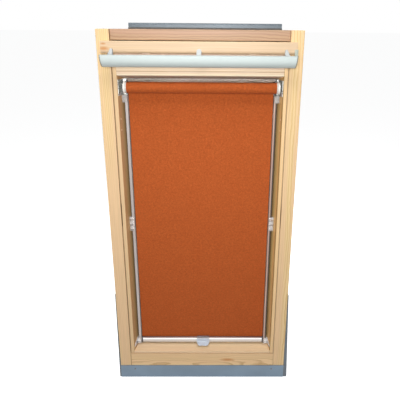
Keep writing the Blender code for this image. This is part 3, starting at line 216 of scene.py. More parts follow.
def ramp(tree, value, stops):
    """Turns a value into a colour. stops are pairs of a value and a colour, lowest first."""
    bands = tree.nodes.new("ShaderNodeValToRGB")
    bands.color_ramp.elements[0].position = stops[0][0]
    bands.color_ramp.elements[0].color = (*stops[0][1], 1.0)
    bands.color_ramp.elements[1].position = stops[-1][0]
    bands.color_ramp.elements[1].color = (*stops[-1][1], 1.0)
    for position, colour in stops[1:-1]:
        bands.color_ramp.elements.new(position).color = (*colour, 1.0)
    tree.links.new(value, bands.inputs["Fac"])
    return bands.outputs["Color"]


def blend_colours(tree, kind, factor, under, over):
    """Lays one colour over another. Each of the three can be a value or come from a node."""
    mix = tree.nodes.new("ShaderNodeMix")
    mix.data_type = "RGBA"
    mix.blend_type = kind
    mix.clamp_result = True
    # sockets 6 and 7 are the two colours of this node
    for socket, value in ((0, factor), (6, under), (7, over)):
        if isinstance(value, (int, float)):
            mix.inputs[socket].default_value = value
        elif isinstance(value, tuple):
            mix.inputs[socket].default_value = (*value, 1.0)
        else:
            tree.links.new(value, mix.inputs[socket])
    return mix.outputs[2]


def grey(value):
    """The same value three times over, as for a grey."""
    return (value, value, value)


def relief(tree, height, distance, strength=1.0):
    """A bumpy skin from a value, distance metres deep."""
    bump = tree.nodes.new("ShaderNodeBump")
    bump.inputs["Distance"].default_value = distance
    bump.inputs["Strength"].default_value = strength
    tree.links.new(height, bump.inputs["Height"])
    return bump.outputs["Normal"]


def knot(tree, vector, place, radius):
    """Nearness to a knot: 1 at its middle, 0 away from it."""
    centre = tree.nodes.new("ShaderNodeMapping")
    centre.vector_type = "TEXTURE"
    centre.inputs["Location"].default_value = place
    centre.inputs["Scale"].default_value = radius
    tree.links.new(vector, centre.inputs["Vector"])
    ball = tree.nodes.new("ShaderNodeTexGradient")
    ball.gradient_type = "SPHERICAL"
    tree.links.new(centre.outputs[0], ball.inputs["Vector"])
    return ball.outputs["Fac"]


def pine(name, along, pith, early, late, blush, knots=(), sway=0.026):
    """Lacquered pine with its pith line at a place beside the board.

    early and late are the colours of a ring's two parts, and blush is that of the pinker boards.
    Knots are pairs of a place and three radii, and the rings bend round them. sway is how far the
    rings wander.
    """
    finish, tree, wood = start_finish(name)
    place = own_place(tree)
    wander = speckle(tree, grain_space(tree, along, fine=9.0, long=1.6), detail=2.0, output="Color")
    drift = tree.nodes.new("ShaderNodeVectorMath")
    drift.operation = "MULTIPLY_ADD"
    drift.inputs[1].default_value = grey(sway)
    tree.links.new(wander, drift.inputs[0])
    tree.links.new(place, drift.inputs[2])
    bent = drift.outputs[0]
    near = []
    for where, radius in knots:
        closeness = knot(tree, place, where, radius)
        near.append(closeness)
        push = tree.nodes.new("ShaderNodeVectorMath")
        push.operation = "MULTIPLY_ADD"
        push.inputs[1].default_value = grey(0.016)
        tree.links.new(closeness, push.inputs[0])
        tree.links.new(bent, push.inputs[2])
        bent = push.outputs[0]
    centre = tree.nodes.new("ShaderNodeMapping")
    centre.inputs["Location"].default_value = [-value for value in pith]
    tree.links.new(bent, centre.inputs["Vector"])
    rings = tree.nodes.new("ShaderNodeTexWave")
    rings.wave_type = "RINGS"
    rings.rings_direction = along
    rings.wave_profile = "SAW"
    rings.inputs["Scale"].default_value = 74.0
    rings.inputs["Distortion"].default_value = 1.6
    rings.inputs["Detail"].default_value = 2.0
    rings.inputs["Detail Scale"].default_value = 0.5
    tree.links.new(centre.outputs[0], rings.inputs["Vector"])
    bands = [(0.0, early), (0.45, early), (0.86, late), (1.0, early)]
    colour = ramp(tree, rings.outputs["Fac"], bands)
    boards = speckle(tree, grain_space(tree, along, fine=26.0, long=0.7), detail=1.0)
    patch = ramp(tree, boards, [(0.42, grey(0.0)), (0.60, grey(0.75))])
    colour = blend_colours(tree, "MIX", patch, colour, blush)
    streaks = speckle(tree, grain_space(tree, along, fine=190.0, long=5.0), detail=3.0)
    shade = ramp(tree, streaks, [(0.30, grey(0.90)), (0.70, grey(1.0))])
    colour = blend_colours(tree, "MULTIPLY", 1.0, colour, shade)
    for closeness in near:
        heart = ramp(tree, closeness, [(0.05, grey(0.0)), (0.75, grey(0.9))])
        colour = blend_colours(tree, "MIX", heart, colour, (0.56, 0.25, 0.08))
    tree.links.new(colour, wood.inputs["Base Color"])
    fibre = speckle(tree, grain_space(tree, along, fine=1500.0, long=40.0), detail=2.0)
    tree.links.new(relief(tree, fibre, distance=0.00012, strength=0.7), wood.inputs["Normal"])
    wood.inputs["Roughness"].default_value = 0.5
    wood.inputs["Specular IOR Level"].default_value = 0.35
    wood.inputs["Coat Weight"].default_value = 0.08
    wood.inputs["Coat Roughness"].default_value = 0.28
    return finish


def dress(node, finish):
    """Gives a CAD node a finish."""
    nodes[node].data.materials.clear()
    nodes[node].data.materials.append(finish)


def lay_over(finish, where, share, colour):
    """Blends a share of a colour over a finish where a node value is 1."""
    tree = finish.node_tree
    skin = tree.nodes["Principled BSDF"]
    own = skin.inputs["Base Color"].links[0].from_socket
    blend = blend_colours(tree, "MIX", reckon(tree, "MULTIPLY", where, share), own, colour)
    tree.links.new(blend, skin.inputs["Base Color"])


def tint_slice(finish, axis, low, high, share, colour):
    """Blends a share of a colour over a finish between two places along an axis."""
    tree = finish.node_tree
    parts = tree.nodes.new("ShaderNodeSeparateXYZ")
    tree.links.new(own_place(tree), parts.inputs[0])
    past_low = reckon(tree, "GREATER_THAN", parts.outputs[axis], low)
    below_high = reckon(tree, "LESS_THAN", parts.outputs[axis], high)
    inside = reckon(tree, "MULTIPLY", past_low, below_high)
    lay_over(finish, inside, share, colour)


pale, amber, rose = (0.86, 0.635, 0.335), (0.72, 0.470, 0.200), (0.84, 0.570, 0.345)
gap_shade_brown = (0.25, 0.14, 0.06)
post_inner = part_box("frame_post_right")[0][0]
# painted shade: each post's inner face and arris are darkened brown, more on the left post
for word, side, pith, gap_shade_width, share in (
    ("left", -1, (-0.44, 0.13, 0), 0.0015, 0.8),
    ("right", 1, (0.45, 0.16, 0), 0.0007, 0.35),
):
    post_pine = pine("pine_post_" + word, "Z", pith, pale, amber, rose)
    near, far = sorted((side * (post_inner - 0.0005), side * (post_inner + gap_shade_width)))
    tint_slice(post_pine, "X", near, far, share, gap_shade_brown)
    dress("frame_post_" + word, post_pine)
# The head's colours are far darker than the posts': partly the wood's redder tone, partly painted
# shade for its set-back place under the flap.
dress("frame_head", pine("pine_head", "X", (0, 0.16, 1.52), (0.46, 0.30, 0.175),
                         (0.305, 0.170, 0.088), (0.53, 0.32, 0.220)))
sill_knot = ((0.12, 0.0, 0.10), (0.045, 0.03, 0.012))
dress("frame_sill", pine("pine_sill", "X", (0, 0.085, 0.095), (0.92, 0.665, 0.37),
                         (0.55, 0.33, 0.135), (0.84, 0.575, 0.33), [sill_knot], sway=0.055))


# Foot tray, side flashings and hood
# The tray that the sill stands in, the flashings that spread out beside it, the hood over the
# head and the covers on the back of sash and posts are folded aluminium sheet. It is painted
# grey, with a fine orange-peel skin.


def painted_sheet(name, colour, roughness=0.42, gloss=0.35):
    """Grey paint on sheet metal; gloss is how far the metal flake in it shines."""
    finish, tree, paint = start_finish(name)
    place = own_place(tree)
    deep = tuple(value * 0.86 for value in colour)
    tone = ramp(tree, speckle(tree, place, detail=2.0, scale=9.0), [(0.32, deep), (0.68, colour)])
    flakes = speckle(tree, place, detail=1.0, scale=1400.0)
    fleck = ramp(tree, flakes, [(0.35, grey(0.90)), (0.72, grey(1.0))])
    tone = blend_colours(tree, "MULTIPLY", 1.0, tone, fleck)
    tree.links.new(tone, paint.inputs["Base Color"])
    peel = speckle(tree, place, detail=1.0, scale=420.0)
    tree.links.new(relief(tree, peel, distance=0.00008), paint.inputs["Normal"])
    paint.inputs["Metallic"].default_value = gloss
    paint.inputs["Roughness"].default_value = roughness
    return finish


dress("bottom_apron", painted_sheet("grey_tray_paint", (0.190, 0.265, 0.345)))
# The flashings are a darker grey than the tray, as painted shade.
shaded_flashing_grey = painted_sheet("grey_flashing_paint", (0.125, 0.150, 0.175))
for part in ("side_flashing_left", "side_flashing_right"):
    dress(part, shaded_flashing_grey)
hood_grey = painted_sheet("grey_hood_paint", (0.080, 0.103, 0.125), roughness=0.38, gloss=0.25)
dress("top_hood", hood_grey)
cover_grey = painted_sheet("grey_cover_paint", (0.150, 0.165, 0.180), roughness=0.40, gloss=0.5)
for part in ("left", "right", "top", "bottom"):
    dress("sash_cladding_" + part, cover_grey)


def pick_faces(piece, test):
    """Leaves the piece in edit mode with only the faces chosen that pass the test.

    The test is given a face's middle and its normal.
    """
    bpy.ops.object.mode_set(mode="EDIT")
    bpy.ops.mesh.select_mode(type="FACE")
    bpy.ops.mesh.select_all(action="DESELECT")
    bpy.ops.object.mode_set(mode="OBJECT")
    for face in piece.data.polygons:
        face.select = test(face.center, face.normal)
    bpy.ops.object.mode_set(mode="EDIT")


SHARP_DEGREES = 35.0


def apply_bevel(piece, width, segments=2, angle=SHARP_DEGREES):
    """Rounds the edges of the piece that turn by more than an angle in degrees."""
    rounding = piece.modifiers.new("rounding", "BEVEL")
    rounding.width = width
    rounding.segments = segments
    rounding.limit_method = "ANGLE"
    rounding.angle_limit = math.radians(angle)
    bpy.ops.object.modifier_apply(modifier="rounding")
    bpy.ops.object.shade_smooth_by_angle(angle=math.radians(angle))


def start_block(name, low, high):
    """A block between two corners, the only thing selected, with its place in its mesh."""
    bpy.ops.object.select_all(action="DESELECT")
    middle = [(a + b) / 2 for a, b in zip(low, high)]
    bpy.ops.mesh.primitive_cube_add(size=1.0, location=middle)
    piece = bpy.context.object
    piece.name = name
    piece.scale = [b - a for a, b in zip(low, high)]
    bpy.ops.object.transform_apply(location=True, rotation=True, scale=True)
    return piece


SEAT_GAP = 0.0003
post_outer, post_back, post_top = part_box("frame_post_right")[1]
tray_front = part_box("bottom_apron")[0][1]
tray_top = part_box("bottom_apron")[1][2]
for word, side in (("left", -1), ("right", 1)):
    near, far = sorted((side * (post_inner + SEAT_GAP), side * (post_outer - SEAT_GAP)))
    cover = start_block("post_cover_" + word, (near, post_back + SEAT_GAP, tray_top + 0.0005),
                        (far, post_back + 0.0015, post_top - 0.0005))
    pick_faces(cover, lambda middle, normal: normal.y > 0.9)
    bpy.ops.mesh.inset(thickness=0.004, use_even_offset=True)
    bpy.ops.transform.translate(value=(0.0, 0.0022, 0.0))
    bpy.ops.object.mode_set(mode="OBJECT")
    apply_bevel(cover, width=0.0005, angle=20.0)
    cover.data.materials.append(cover_grey)
    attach(cover, "frame")


# Seals between sash and frame
# Strips pressed into grooves: black rubber under the head behind the sash, and brown foam down
# each post, above and below the pivot. A grey foam strip lies between the head and the hood.


def seal_foam(name, dark, light):
    """Rubber or foam, mottled between two colours."""
    finish, tree, skin = start_finish(name)
    bloom = speckle(tree, own_place(tree), detail=2.0, scale=120.0)
    tree.links.new(ramp(tree, bloom, [(0.3, dark), (0.7, light)]), skin.inputs["Base Color"])
    skin.inputs["Roughness"].default_value = 0.6
    return finish


def seal_strip(name, low, high, side, inset, step, finish):
    """A strip whose face towards side, an outward direction, is set in or raised by step."""
    strip = start_block(name, low, high)
    pick_faces(strip, lambda middle, normal: normal.dot(side) > 0.9)
    bpy.ops.mesh.inset(thickness=inset, use_even_offset=True)
    bpy.ops.mesh.extrude_region_move(TRANSFORM_OT_translate={"value": side * step})
    bpy.ops.object.mode_set(mode="OBJECT")
    apply_bevel(strip, width=0.0004, angle=20.0)
    strip.data.materials.append(finish)
    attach(strip, "frame")


room_side = Vector((0.0, -1.0, 0.0))
head_low, head_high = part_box("frame_head")
black_rubber = seal_foam("black_rubber", (0.020, 0.017, 0.015), (0.040, 0.034, 0.030))
seal_end = post_inner - 0.0005
seal_strip("head_seal", (-seal_end, head_high[1] - 0.0160, head_low[2] - 0.0120),
           (seal_end, head_high[1] - 0.0060, head_low[2] - SEAT_GAP), room_side,
           inset=0.0025, step=0.0012, finish=black_rubber)
hood_low, hood_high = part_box("top_hood")
hood_foam = seal_foam("hood_foam", (0.050, 0.048, 0.045), (0.085, 0.080, 0.075))
seal_strip("hood_seal", (hood_low[0] + SEAT_GAP, hood_low[1] - 0.0068, head_high[2]),
           (hood_high[0] - SEAT_GAP, hood_low[1] - 0.0002, head_high[2] + 0.0062), room_side,
           inset=0.0010, step=0.0006, finish=hood_foam)
post_foam = seal_foam("brown_foam", (0.44, 0.30, 0.17), (0.55, 0.38, 0.22))
sill_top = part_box("frame_sill")[1][2]
pivot_low, pivot_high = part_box("pivot_plate_right")
for word, side, front in (("left", -1, 0.0050), ("right", 1, 0.0004)):
    near, far = sorted((side * (post_inner - 0.0025), side * (post_inner - 0.0002)))
    for half, bottom, top in (
        ("lower", sill_top + 0.0005, pivot_low[2] - 0.0080),
        ("upper", pivot_high[2] + 0.0080, head_low[2] - 0.0010),
    ):
        seal_strip("post_seal_%s_%s" % (half, word), (near, front, bottom), (far, 0.0150, top),
                   room_side, inset=0.0004, step=0.0004, finish=post_foam)


# Pivots and other steel
# The pivot plates, the brackets, the screws, the roller's shaft and its torsion spring are zinc
# plated steel, with the soft cloudy spangle of the plating. The brackets carry dark dots of
# painted shade that stand for dimples.


def plated_steel(name, colour, roughness):
    """Plated steel, its spangle between a colour and a duller one."""
    finish, tree, metal = start_finish(name)
    cloud = speckle(tree, own_place(tree), detail=3.0, scale=160.0)
    dull = tuple(value * 0.78 for value in colour)
    tree.links.new(ramp(tree, cloud, [(0.35, dull), (0.65, colour)]), metal.inputs["Base Color"])
    tree.links.new(relief(tree, cloud, distance=0.00005), metal.inputs["Normal"])
    metal.inputs["Metallic"].default_value = 1.0
    metal.inputs["Roughness"].default_value = roughness
    return finish


zinc = plated_steel("zinc_plate", (0.60, 0.62, 0.60), roughness=0.36)
for part in ("pivot_plate_left", "pivot_plate_right", "spring_shaft"):
    dress(part, zinc)
plate_steel = plated_steel("bracket_steel_dimple_shade", (0.72, 0.74, 0.72), roughness=0.45)
tree = plate_steel.node_tree
# painted shade: near-black dots where dimples in the brackets would fall dark
dimple_shade_cells = tree.nodes.new("ShaderNodeTexVoronoi")
dimple_shade_cells.inputs["Scale"].default_value = 135.0
dimple_shade_cells.inputs["Randomness"].default_value = 0.55
tree.links.new(own_place(tree), dimple_shade_cells.inputs["Vector"])
dimple_shade_radius = 0.38
dimple_shade_mask = reckon(tree, "LESS_THAN", dimple_shade_cells.outputs["Distance"], dimple_shade_radius)
lay_over(plate_steel, dimple_shade_mask, share=0.93, colour=(0.03, 0.03, 0.035))
for part in ("roller_plate_left", "roller_plate_right"):
    dress(part, plate_steel)
spring_steel = plated_steel("oiled_spring_steel", (0.40, 0.40, 0.42), roughness=0.28)
dress("torsion_spring", spring_steel)
screw_steel = plated_steel("dark_screw_steel", (0.22, 0.22, 0.24), roughness=0.34)


def choose(piece):
    """Makes a piece the only thing selected, and the one that is worked on."""
    bpy.ops.object.select_all(action="DESELECT")
    piece.select_set(True)
    bpy.context.view_layer.objects.active = piece


def cross_screw(name, head_radius=0.0040, head_height=0.0018, shank=0.0095, tip=0.0024):
    """A pan-head screw with a cross recess: the head's underside at the origin, the head up."""
    bpy.ops.object.select_all(action="DESELECT")
    bpy.ops.mesh.primitive_cylinder_add(vertices=24, radius=head_radius, depth=head_height,
                                        location=(0.0, 0.0, head_height / 2))
    screw = bpy.context.object
    screw.name = name
    bpy.ops.object.transform_apply(location=True, rotation=True, scale=True)
    pick_faces(screw, lambda middle, normal: normal.z < -0.9)
    bpy.ops.mesh.inset(thickness=head_radius / 2, use_even_offset=True)
    for length in (shank, tip):
        bpy.ops.mesh.extrude_region_move(TRANSFORM_OT_translate={"value": (0.0, 0.0, -length)})
    bpy.ops.transform.resize(value=(0.12, 0.12, 1.0))
    pick_faces(screw, lambda middle, normal: normal.z > 0.9)
    bpy.ops.mesh.bevel(offset=0.0011, segments=4, affect="EDGES")
    bpy.ops.object.mode_set(mode="OBJECT")
    for turn in (0.0, math.pi / 2):
        bpy.ops.object.select_all(action="DESELECT")
        bpy.ops.mesh.primitive_cube_add(size=1.0, location=(0.0, 0.0, 0.0016),
                                        rotation=(0.0, 0.0, turn))
        bit = bpy.context.object
        bit.scale = (0.0046, 0.00085, 0.0022)
        recess = screw.modifiers.new("recess", "BOOLEAN")
        recess.operation = "DIFFERENCE"
        recess.object = bit
        bpy.context.view_layer.objects.active = screw
        bpy.ops.object.modifier_apply(modifier="recess")
        bpy.data.objects.remove(bit, do_unlink=True)
    choose(screw)
    bpy.ops.object.shade_smooth_by_angle(angle=math.radians(SHARP_DEGREES))
    return screw


def drive(pattern, name, seat, out, turn, finish, body, node=None):
    """A copy of the screw in its seat with its head facing out, for the CAD screw there if any."""
    screw = bpy.data.objects.new(name, pattern.data.copy())
    bpy.context.scene.collection.objects.link(screw)
    screw.data.transform(Matrix.Rotation(turn, 4, "Z"))
    screw.data.transform(Vector(out).to_track_quat("Z", "Y").to_matrix().to_4x4())
    screw.data.transform(Matrix.Translation(seat))
    screw.data.materials.append(finish)
    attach(screw, body)
    if node:
        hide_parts(node)


pattern = cross_screw("screw_pattern")
for word, turn in (("left", 0.5), ("right", 1.1)):
    low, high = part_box("apron_screw_" + word)
    seat = ((low[0] + high[0]) / 2, tray_front - SEAT_GAP, (low[2] + high[2]) / 2)
    drive(pattern, "tray_screw_" + word, seat, room_side, turn, screw_steel, "frame",
          "apron_screw_" + word)
reveal_slant = (0.964, 0.266)
plate_seat = (0.3094, 0.03415)
foot_seat = (0.31155, 0.0262)
foot_screw_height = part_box("rail_foot_right")[0][2] + 0.0125
for word, side in (("left", -1), ("right", 1)):
    off_the_reveal = (-side * reveal_slant[0], -reveal_slant[1], 0.0)
    for end, turn in (("lower", 0.3), ("upper", 0.9)):
        low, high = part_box("bracket_screw_%s_%s" % (end, word))
        seat = (side * plate_seat[0], plate_seat[1], (low[2] + high[2]) / 2)
        drive(pattern, "plate_screw_%s_%s" % (end, word), seat, off_the_reveal, turn, screw_steel,
              "sash", "bracket_screw_%s_%s" % (end, word))
    seat = (side * foot_seat[0], foot_seat[1], foot_screw_height)
    drive(pattern, "foot_screw_" + word, seat, off_the_reveal, 0.6, screw_steel, "sash")
bpy.data.objects.remove(pattern, do_unlink=True)


# Sash timber
# The sash is pine too: two stiles with a splayed inner side, a deep top rail with a scribed
# groove, and a low bottom rail, all with rounded edges and the same lacquer. The stiles are
# darker brown as painted shade on their splayed sides, the left more than the right, each with
# two filled nail holes, and are blended pale on the front; the right one has a painted shadow
# line down its arris.


def tint_spot(finish, place, radius, share, colour):
    """Blends a share of a colour over a finish within a radius of a place."""
    tree = finish.node_tree
    away = tree.nodes.new("ShaderNodeVectorMath")
    away.operation = "DISTANCE"
    away.inputs[1].default_value = place
    tree.links.new(own_place(tree), away.inputs[0])
    lay_over(finish, reckon(tree, "LESS_THAN", away.outputs["Value"], radius), share, colour)


stile_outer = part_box("sash_stile_right")[1][0]
arris = stile_outer - 0.0147
past_stile = stile_outer + 0.001
pale_front_tone = (0.92, 0.70, 0.43)
# painted shade: the stiles' own colours are darker for their splayed sides, the left darker than the
# right, and the front faces are blended back to pale
left_stile_pine = pine("pine_stile_left", "Z", (-0.30, 0.16, 0), (0.61, 0.380, 0.170),
                       (0.50, 0.30, 0.115), (0.61, 0.36, 0.18))
tint_slice(left_stile_pine, "X", -past_stile, -arris, 0.5, pale_front_tone)
dress("sash_stile_left", left_stile_pine)
right_stile_pine = pine("pine_stile_right", "Z", (0.30, 0.18, 0), (0.84, 0.550, 0.22),
                        (0.68, 0.43, 0.15), (0.83, 0.51, 0.22))
tint_slice(right_stile_pine, "X", arris, past_stile, 0.45, pale_front_tone)
# painted shadow: a dark line down the right stile's arris
tint_slice(right_stile_pine, "X", arris - 0.0024, arris + 0.0014, 0.8, (0.34, 0.21, 0.06))
dress("sash_stile_right", right_stile_pine)
nail_filler = (0.98, 0.80, 0.55)
nail_x, nail_y = 0.3149, 0.0140
for side, stile_pine in ((-1, left_stile_pine), (1, right_stile_pine)):
    for nail_height in (1.2155, 1.2600):
        tint_spot(stile_pine, (side * nail_x, nail_y, nail_height), radius=0.0042, share=0.8,
                  colour=nail_filler)
rail_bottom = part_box("sash_top_rail")[0][2]
rim_highlight_bottom, rim_highlight_top, groove = (rail_bottom + rise for rise in (0.0155, 0.0215, 0.0320))
top_rail_pine = pine("pine_top_rail", "X", (0, 0.14, 1.60), (0.80, 0.635, 0.46),
                     (0.71, 0.52, 0.32), (0.80, 0.57, 0.46))
# painted shade along the scribed groove, and a painted highlight on the rounded rim below it
tint_slice(top_rail_pine, "Z", groove - 0.0014, groove + 0.0014, 0.62, (0.34, 0.19, 0.10))
tint_slice(top_rail_pine, "Z", rim_highlight_bottom, rim_highlight_top, 0.6, (0.98, 0.88, 0.66))
dress("sash_top_rail", top_rail_pine)
dress("sash_bottom_rail", pine("pine_bottom_rail", "X", (0, 0.12, 0.12), (0.93, 0.70, 0.42),
                               (0.80, 0.55, 0.30), (0.90, 0.64, 0.42)))


# Glazing
# Two float glass panes with a grey spacer between them. The glass is clear with a slight green
# cast, and the spacer is a roll-formed strip, its mitred corners sealed with black butyl; the
# black bands are drawn wider than the butyl, as painted shade where the reveal shades the spacer.
float_glass, tree, clear = start_finish("float_glass")
haze = speckle(tree, own_place(tree), detail=1.0, scale=3.0)
tree.links.new(ramp(tree, haze, [(0.3, (0.93, 0.98, 0.95)), (0.7, (0.96, 0.99, 0.97))]),
               clear.inputs["Base Color"])
clear.inputs["Transmission Weight"].default_value = 1.0
clear.inputs["Roughness"].default_value = 0.0
clear.inputs["IOR"].default_value = 1.5
dress("inner_pane", float_glass)
dress("outer_pane", float_glass)
spacer_strip = plated_steel("spacer_grey", (0.33, 0.245, 0.22), roughness=0.5)
tree = spacer_strip.node_tree
parts = tree.nodes.new("ShaderNodeSeparateXYZ")
tree.links.new(own_place(tree), parts.inputs[0])
low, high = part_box("spacer_frame")
beside = reckon(tree, "ABSOLUTE", parts.outputs["X"])
falling = reckon(tree, "SUBTRACT", beside, parts.outputs["Z"])
rising = reckon(tree, "ADD", beside, parts.outputs["Z"])
upper_mitre = reckon(tree, "ABSOLUTE", reckon(tree, "ADD", falling, high[2] - high[0]))
lower_mitre = reckon(tree, "ABSOLUTE", reckon(tree, "SUBTRACT", rising, low[2] + high[0]))
# black butyl at the mitres, widened as painted shade
butyl_and_shade_half = 0.0042
butyl_and_shade_seam = reckon(tree, "LESS_THAN", reckon(tree, "MINIMUM", upper_mitre, lower_mitre), butyl_and_shade_half)
lay_over(spacer_strip, butyl_and_shade_seam, share=1.0, colour=(0.015, 0.013, 0.012))
strip = tree.nodes["Principled BSDF"]
tree.links.new(reckon(tree, "SUBTRACT", 1.0, butyl_and_shade_seam), strip.inputs["Metallic"])
dress("spacer_frame", spacer_strip)


# Ventilation flap and its control bar
# The flap is a narrow pine board across the head. A hollow silver bar hangs in front of it on
# three moulded arms: pulled down, it tips the flap, and pushed on, it opens the sash.
flap_knots = [
    ((-0.357, -0.022, 1.531), (0.026, 0.03, 0.010)),
    ((-0.358, -0.022, 1.548), (0.013, 0.03, 0.005)),
]
dress("vent_flap_board", pine("pine_flap", "X", (0, 0.11, 1.48), (0.745, 0.575, 0.35),
                              (0.65, 0.465, 0.245), (0.71, 0.51, 0.34), flap_knots))


def brushed_aluminium(name, colour, along, roughness=0.30, bareness=1.0):
    """Drawn aluminium, its die lines along one axis; bareness is below 1 under silver paint."""
    finish, tree, metal = start_finish(name)
    lines = speckle(tree, grain_space(tree, along, fine=2600.0, long=6.0), detail=2.0)
    dim = tuple(value * 0.93 for value in colour)
    tree.links.new(ramp(tree, lines, [(0.3, dim), (0.7, colour)]), metal.inputs["Base Color"])
    tree.links.new(relief(tree, lines, distance=0.00002), metal.inputs["Normal"])
    metal.inputs["Metallic"].default_value = bareness
    metal.inputs["Roughness"].default_value = roughness
    return finish


def moulded(name, colour, roughness=0.38, clearness=0.0):
    """Moulded plastic with a faint spark-eroded skin; clearness lets some light through."""
    finish, tree, plastic = start_finish(name)
    place = own_place(tree)
    skin = speckle(tree, place, detail=2.0, scale=1800.0)
    mottle = speckle(tree, place, detail=1.0, scale=45.0)
    dim = tuple(value * 0.95 for value in colour)
    tree.links.new(ramp(tree, mottle, [(0.3, dim), (0.7, colour)]), plastic.inputs["Base Color"])
    tree.links.new(relief(tree, skin, distance=0.00003), plastic.inputs["Normal"])
    plastic.inputs["Roughness"].default_value = roughness
    plastic.inputs["Transmission Weight"].default_value = clearness
    return finish


def smoothed(node, name, finish, body, radius=0.0, segments=2):
    """Stands for a CAD piece, with smooth curves and the rounded edges of its die or mould."""
    piece = bpy.data.objects.new(name, nodes[node].data.copy())
    bpy.context.scene.collection.objects.link(piece)
    choose(piece)
    bpy.ops.object.mode_set(mode="EDIT")
    bpy.ops.mesh.select_all(action="SELECT")
    bpy.ops.mesh.remove_doubles(threshold=0.00001)
    bpy.ops.mesh.dissolve_limited(angle_limit=math.radians(1.0))
    bpy.ops.object.mode_set(mode="OBJECT")
    if radius:
        apply_bevel(piece, radius, segments)
    bpy.ops.object.shade_smooth_by_angle(angle=math.radians(SHARP_DEGREES))
    piece.data.materials.clear()
    piece.data.materials.append(finish)
    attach(piece, body)
    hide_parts(node)
    return piece


def pick(piece, test):
    """Leaves the piece in edit mode with only the vertices chosen that pass the test."""
    bpy.ops.object.mode_set(mode="EDIT")
    bpy.ops.mesh.select_mode(type="VERT")
    bpy.ops.mesh.select_all(action="DESELECT")
    bpy.ops.object.mode_set(mode="OBJECT")
    for vertex in piece.data.vertices:
        vertex.select = test(vertex.co)
    bpy.ops.object.mode_set(mode="EDIT")


def round_corners(piece, low, high, end, radius):
    """Cuts a piece back to a block with two round corners, at the top (end 1) or bottom (end -1)."""
    block = start_block("corner_block", low, high)
    middle = (low[2] + high[2]) / 2
    pick(block, lambda co: (co.z - middle) * end > 0)
    bpy.ops.mesh.select_mode(type="EDGE")
    bpy.ops.object.mode_set(mode="OBJECT")
    for edge in block.data.edges:
        ends = [block.data.vertices[index].co for index in edge.vertices]
        at_end = all((co.z - middle) * end > 0 for co in ends)
        edge.select = at_end and abs(ends[0].y - ends[1].y) > 0.001
    bpy.ops.object.mode_set(mode="EDIT")
    bpy.ops.mesh.bevel(offset=radius, segments=10, affect="EDGES")
    bpy.ops.object.mode_set(mode="OBJECT")
    choose(piece)
    rounding = piece.modifiers.new("corners", "BOOLEAN")
    rounding.operation = "INTERSECT"
    rounding.object = block
    bpy.ops.object.modifier_apply(modifier="corners")
    bpy.data.objects.remove(block, do_unlink=True)


bar_paint = brushed_aluminium("silver_bar", (0.47, 0.53, 0.525), "X", roughness=0.6, bareness=0.12)
smoothed("control_bar", "handle_bar", bar_paint, "vent_flap")
cap_grey = moulded("bar_cap_grey", (0.13, 0.13, 0.12), roughness=0.4)
for word in ("left", "right"):
    smoothed("bar_cap_" + word, "handle_bar_cap_" + word, cap_grey, "vent_flap",
             radius=0.0004)
arm_white = moulded("arm_grey_white", (0.42, 0.44, 0.44), roughness=0.42)
# painted shade: the pocket cut in each end arm's inner flank is coloured near black
arm_hollow_shade = moulded("arm_hollow_shade", (0.10, 0.10, 0.10), roughness=0.6)
for word, hollow_side in (("left", 1), ("middle", 0), ("right", -1)):
    arm = smoothed("bar_bracket_" + word, "handle_arm_" + word, arm_white, "vent_flap")
    low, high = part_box("bar_bracket_" + word)
    corner_radius = 0.0086 if word == "middle" else 0.0052
    round_corners(arm, (low[0], -0.06, low[2] - 0.03), (high[0], 0.0, high[2]), end=1,
                  radius=corner_radius)
    apply_bevel(arm, width=0.0012, segments=3)
    arm.data.materials.append(arm_hollow_shade)
    if hollow_side:
        pick_faces(arm, lambda middle, normal: normal.x * hollow_side > 0.97)
        bpy.ops.mesh.inset(thickness=0.0012, use_even_offset=True)
        inward = (-hollow_side * 0.0045, 0.0, 0.0)
        bpy.ops.mesh.extrude_region_move(TRANSFORM_OT_translate={"value": inward})
        bpy.ops.object.mode_set(mode="OBJECT")
        for face in arm.data.polygons:
            if face.select:
                face.material_index = 1
for part in ("flap_hinge_left", "flap_hinge_right"):
    dress(part, arm_white)
clip_grey = moulded("clip_grey_green", (0.40, 0.44, 0.38), roughness=0.45)
smoothed("flap_end_clip", "flap_angle_clip", clip_grey, "vent_flap",
         radius=0.0008, segments=3)


# Roller and its holders
# An aluminium tube turns on a plug at one end and on a fixed sprung shaft at the other. White
# moulded holders on the steel brackets carry both ends.
dress("roller_tube", brushed_aluminium("tube_aluminium", (0.72, 0.73, 0.73), "X", roughness=0.3))
holder_white = moulded("holder_white", (0.94, 0.92, 0.88), roughness=0.35)
for word in ("left", "right"):
    smoothed("roller_holder_" + word, "blind_holder_" + word, holder_white, "sash")
    smoothed("roller_plug_" + word, "blind_plug_" + word, holder_white, "roller")


# Guide rails, caps, clips and feet
# A drawn aluminium channel keeps the cloth flat at each side, its outer edge darkened as painted
# shadow, wider on the right. A grey cap holds its top, a clear clip its middle and a ribbed foot
# its lower end, all snapped round the rail and screwed on.
for word, side, tone, shadow_width in (("left", -1, (0.44, 0.405, 0.39), 0.0020),
                                     ("right", 1, (0.46, 0.330, 0.275), 0.0068)):
    rail_silver = brushed_aluminium("rail_silver_" + word, tone, "Z", roughness=0.36, bareness=0.5)
    low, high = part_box("guide_rail_" + word)
    outer = (low, high)[side > 0][0]
    near, far = sorted((outer - side * shadow_width, outer + side * 0.001))
    # painted shadow along the rail's outer edge
    tint_slice(rail_silver, "X", near, far, 0.92, (0.04, 0.03, 0.02))
    dress("guide_rail_" + word, rail_silver)
cap_plastic = moulded("cap_grey", (0.72, 0.69, 0.67), roughness=0.25, clearness=0.35)
clip_plastic = moulded("clip_clear", (0.99, 0.94, 0.93), roughness=0.14, clearness=0.55)
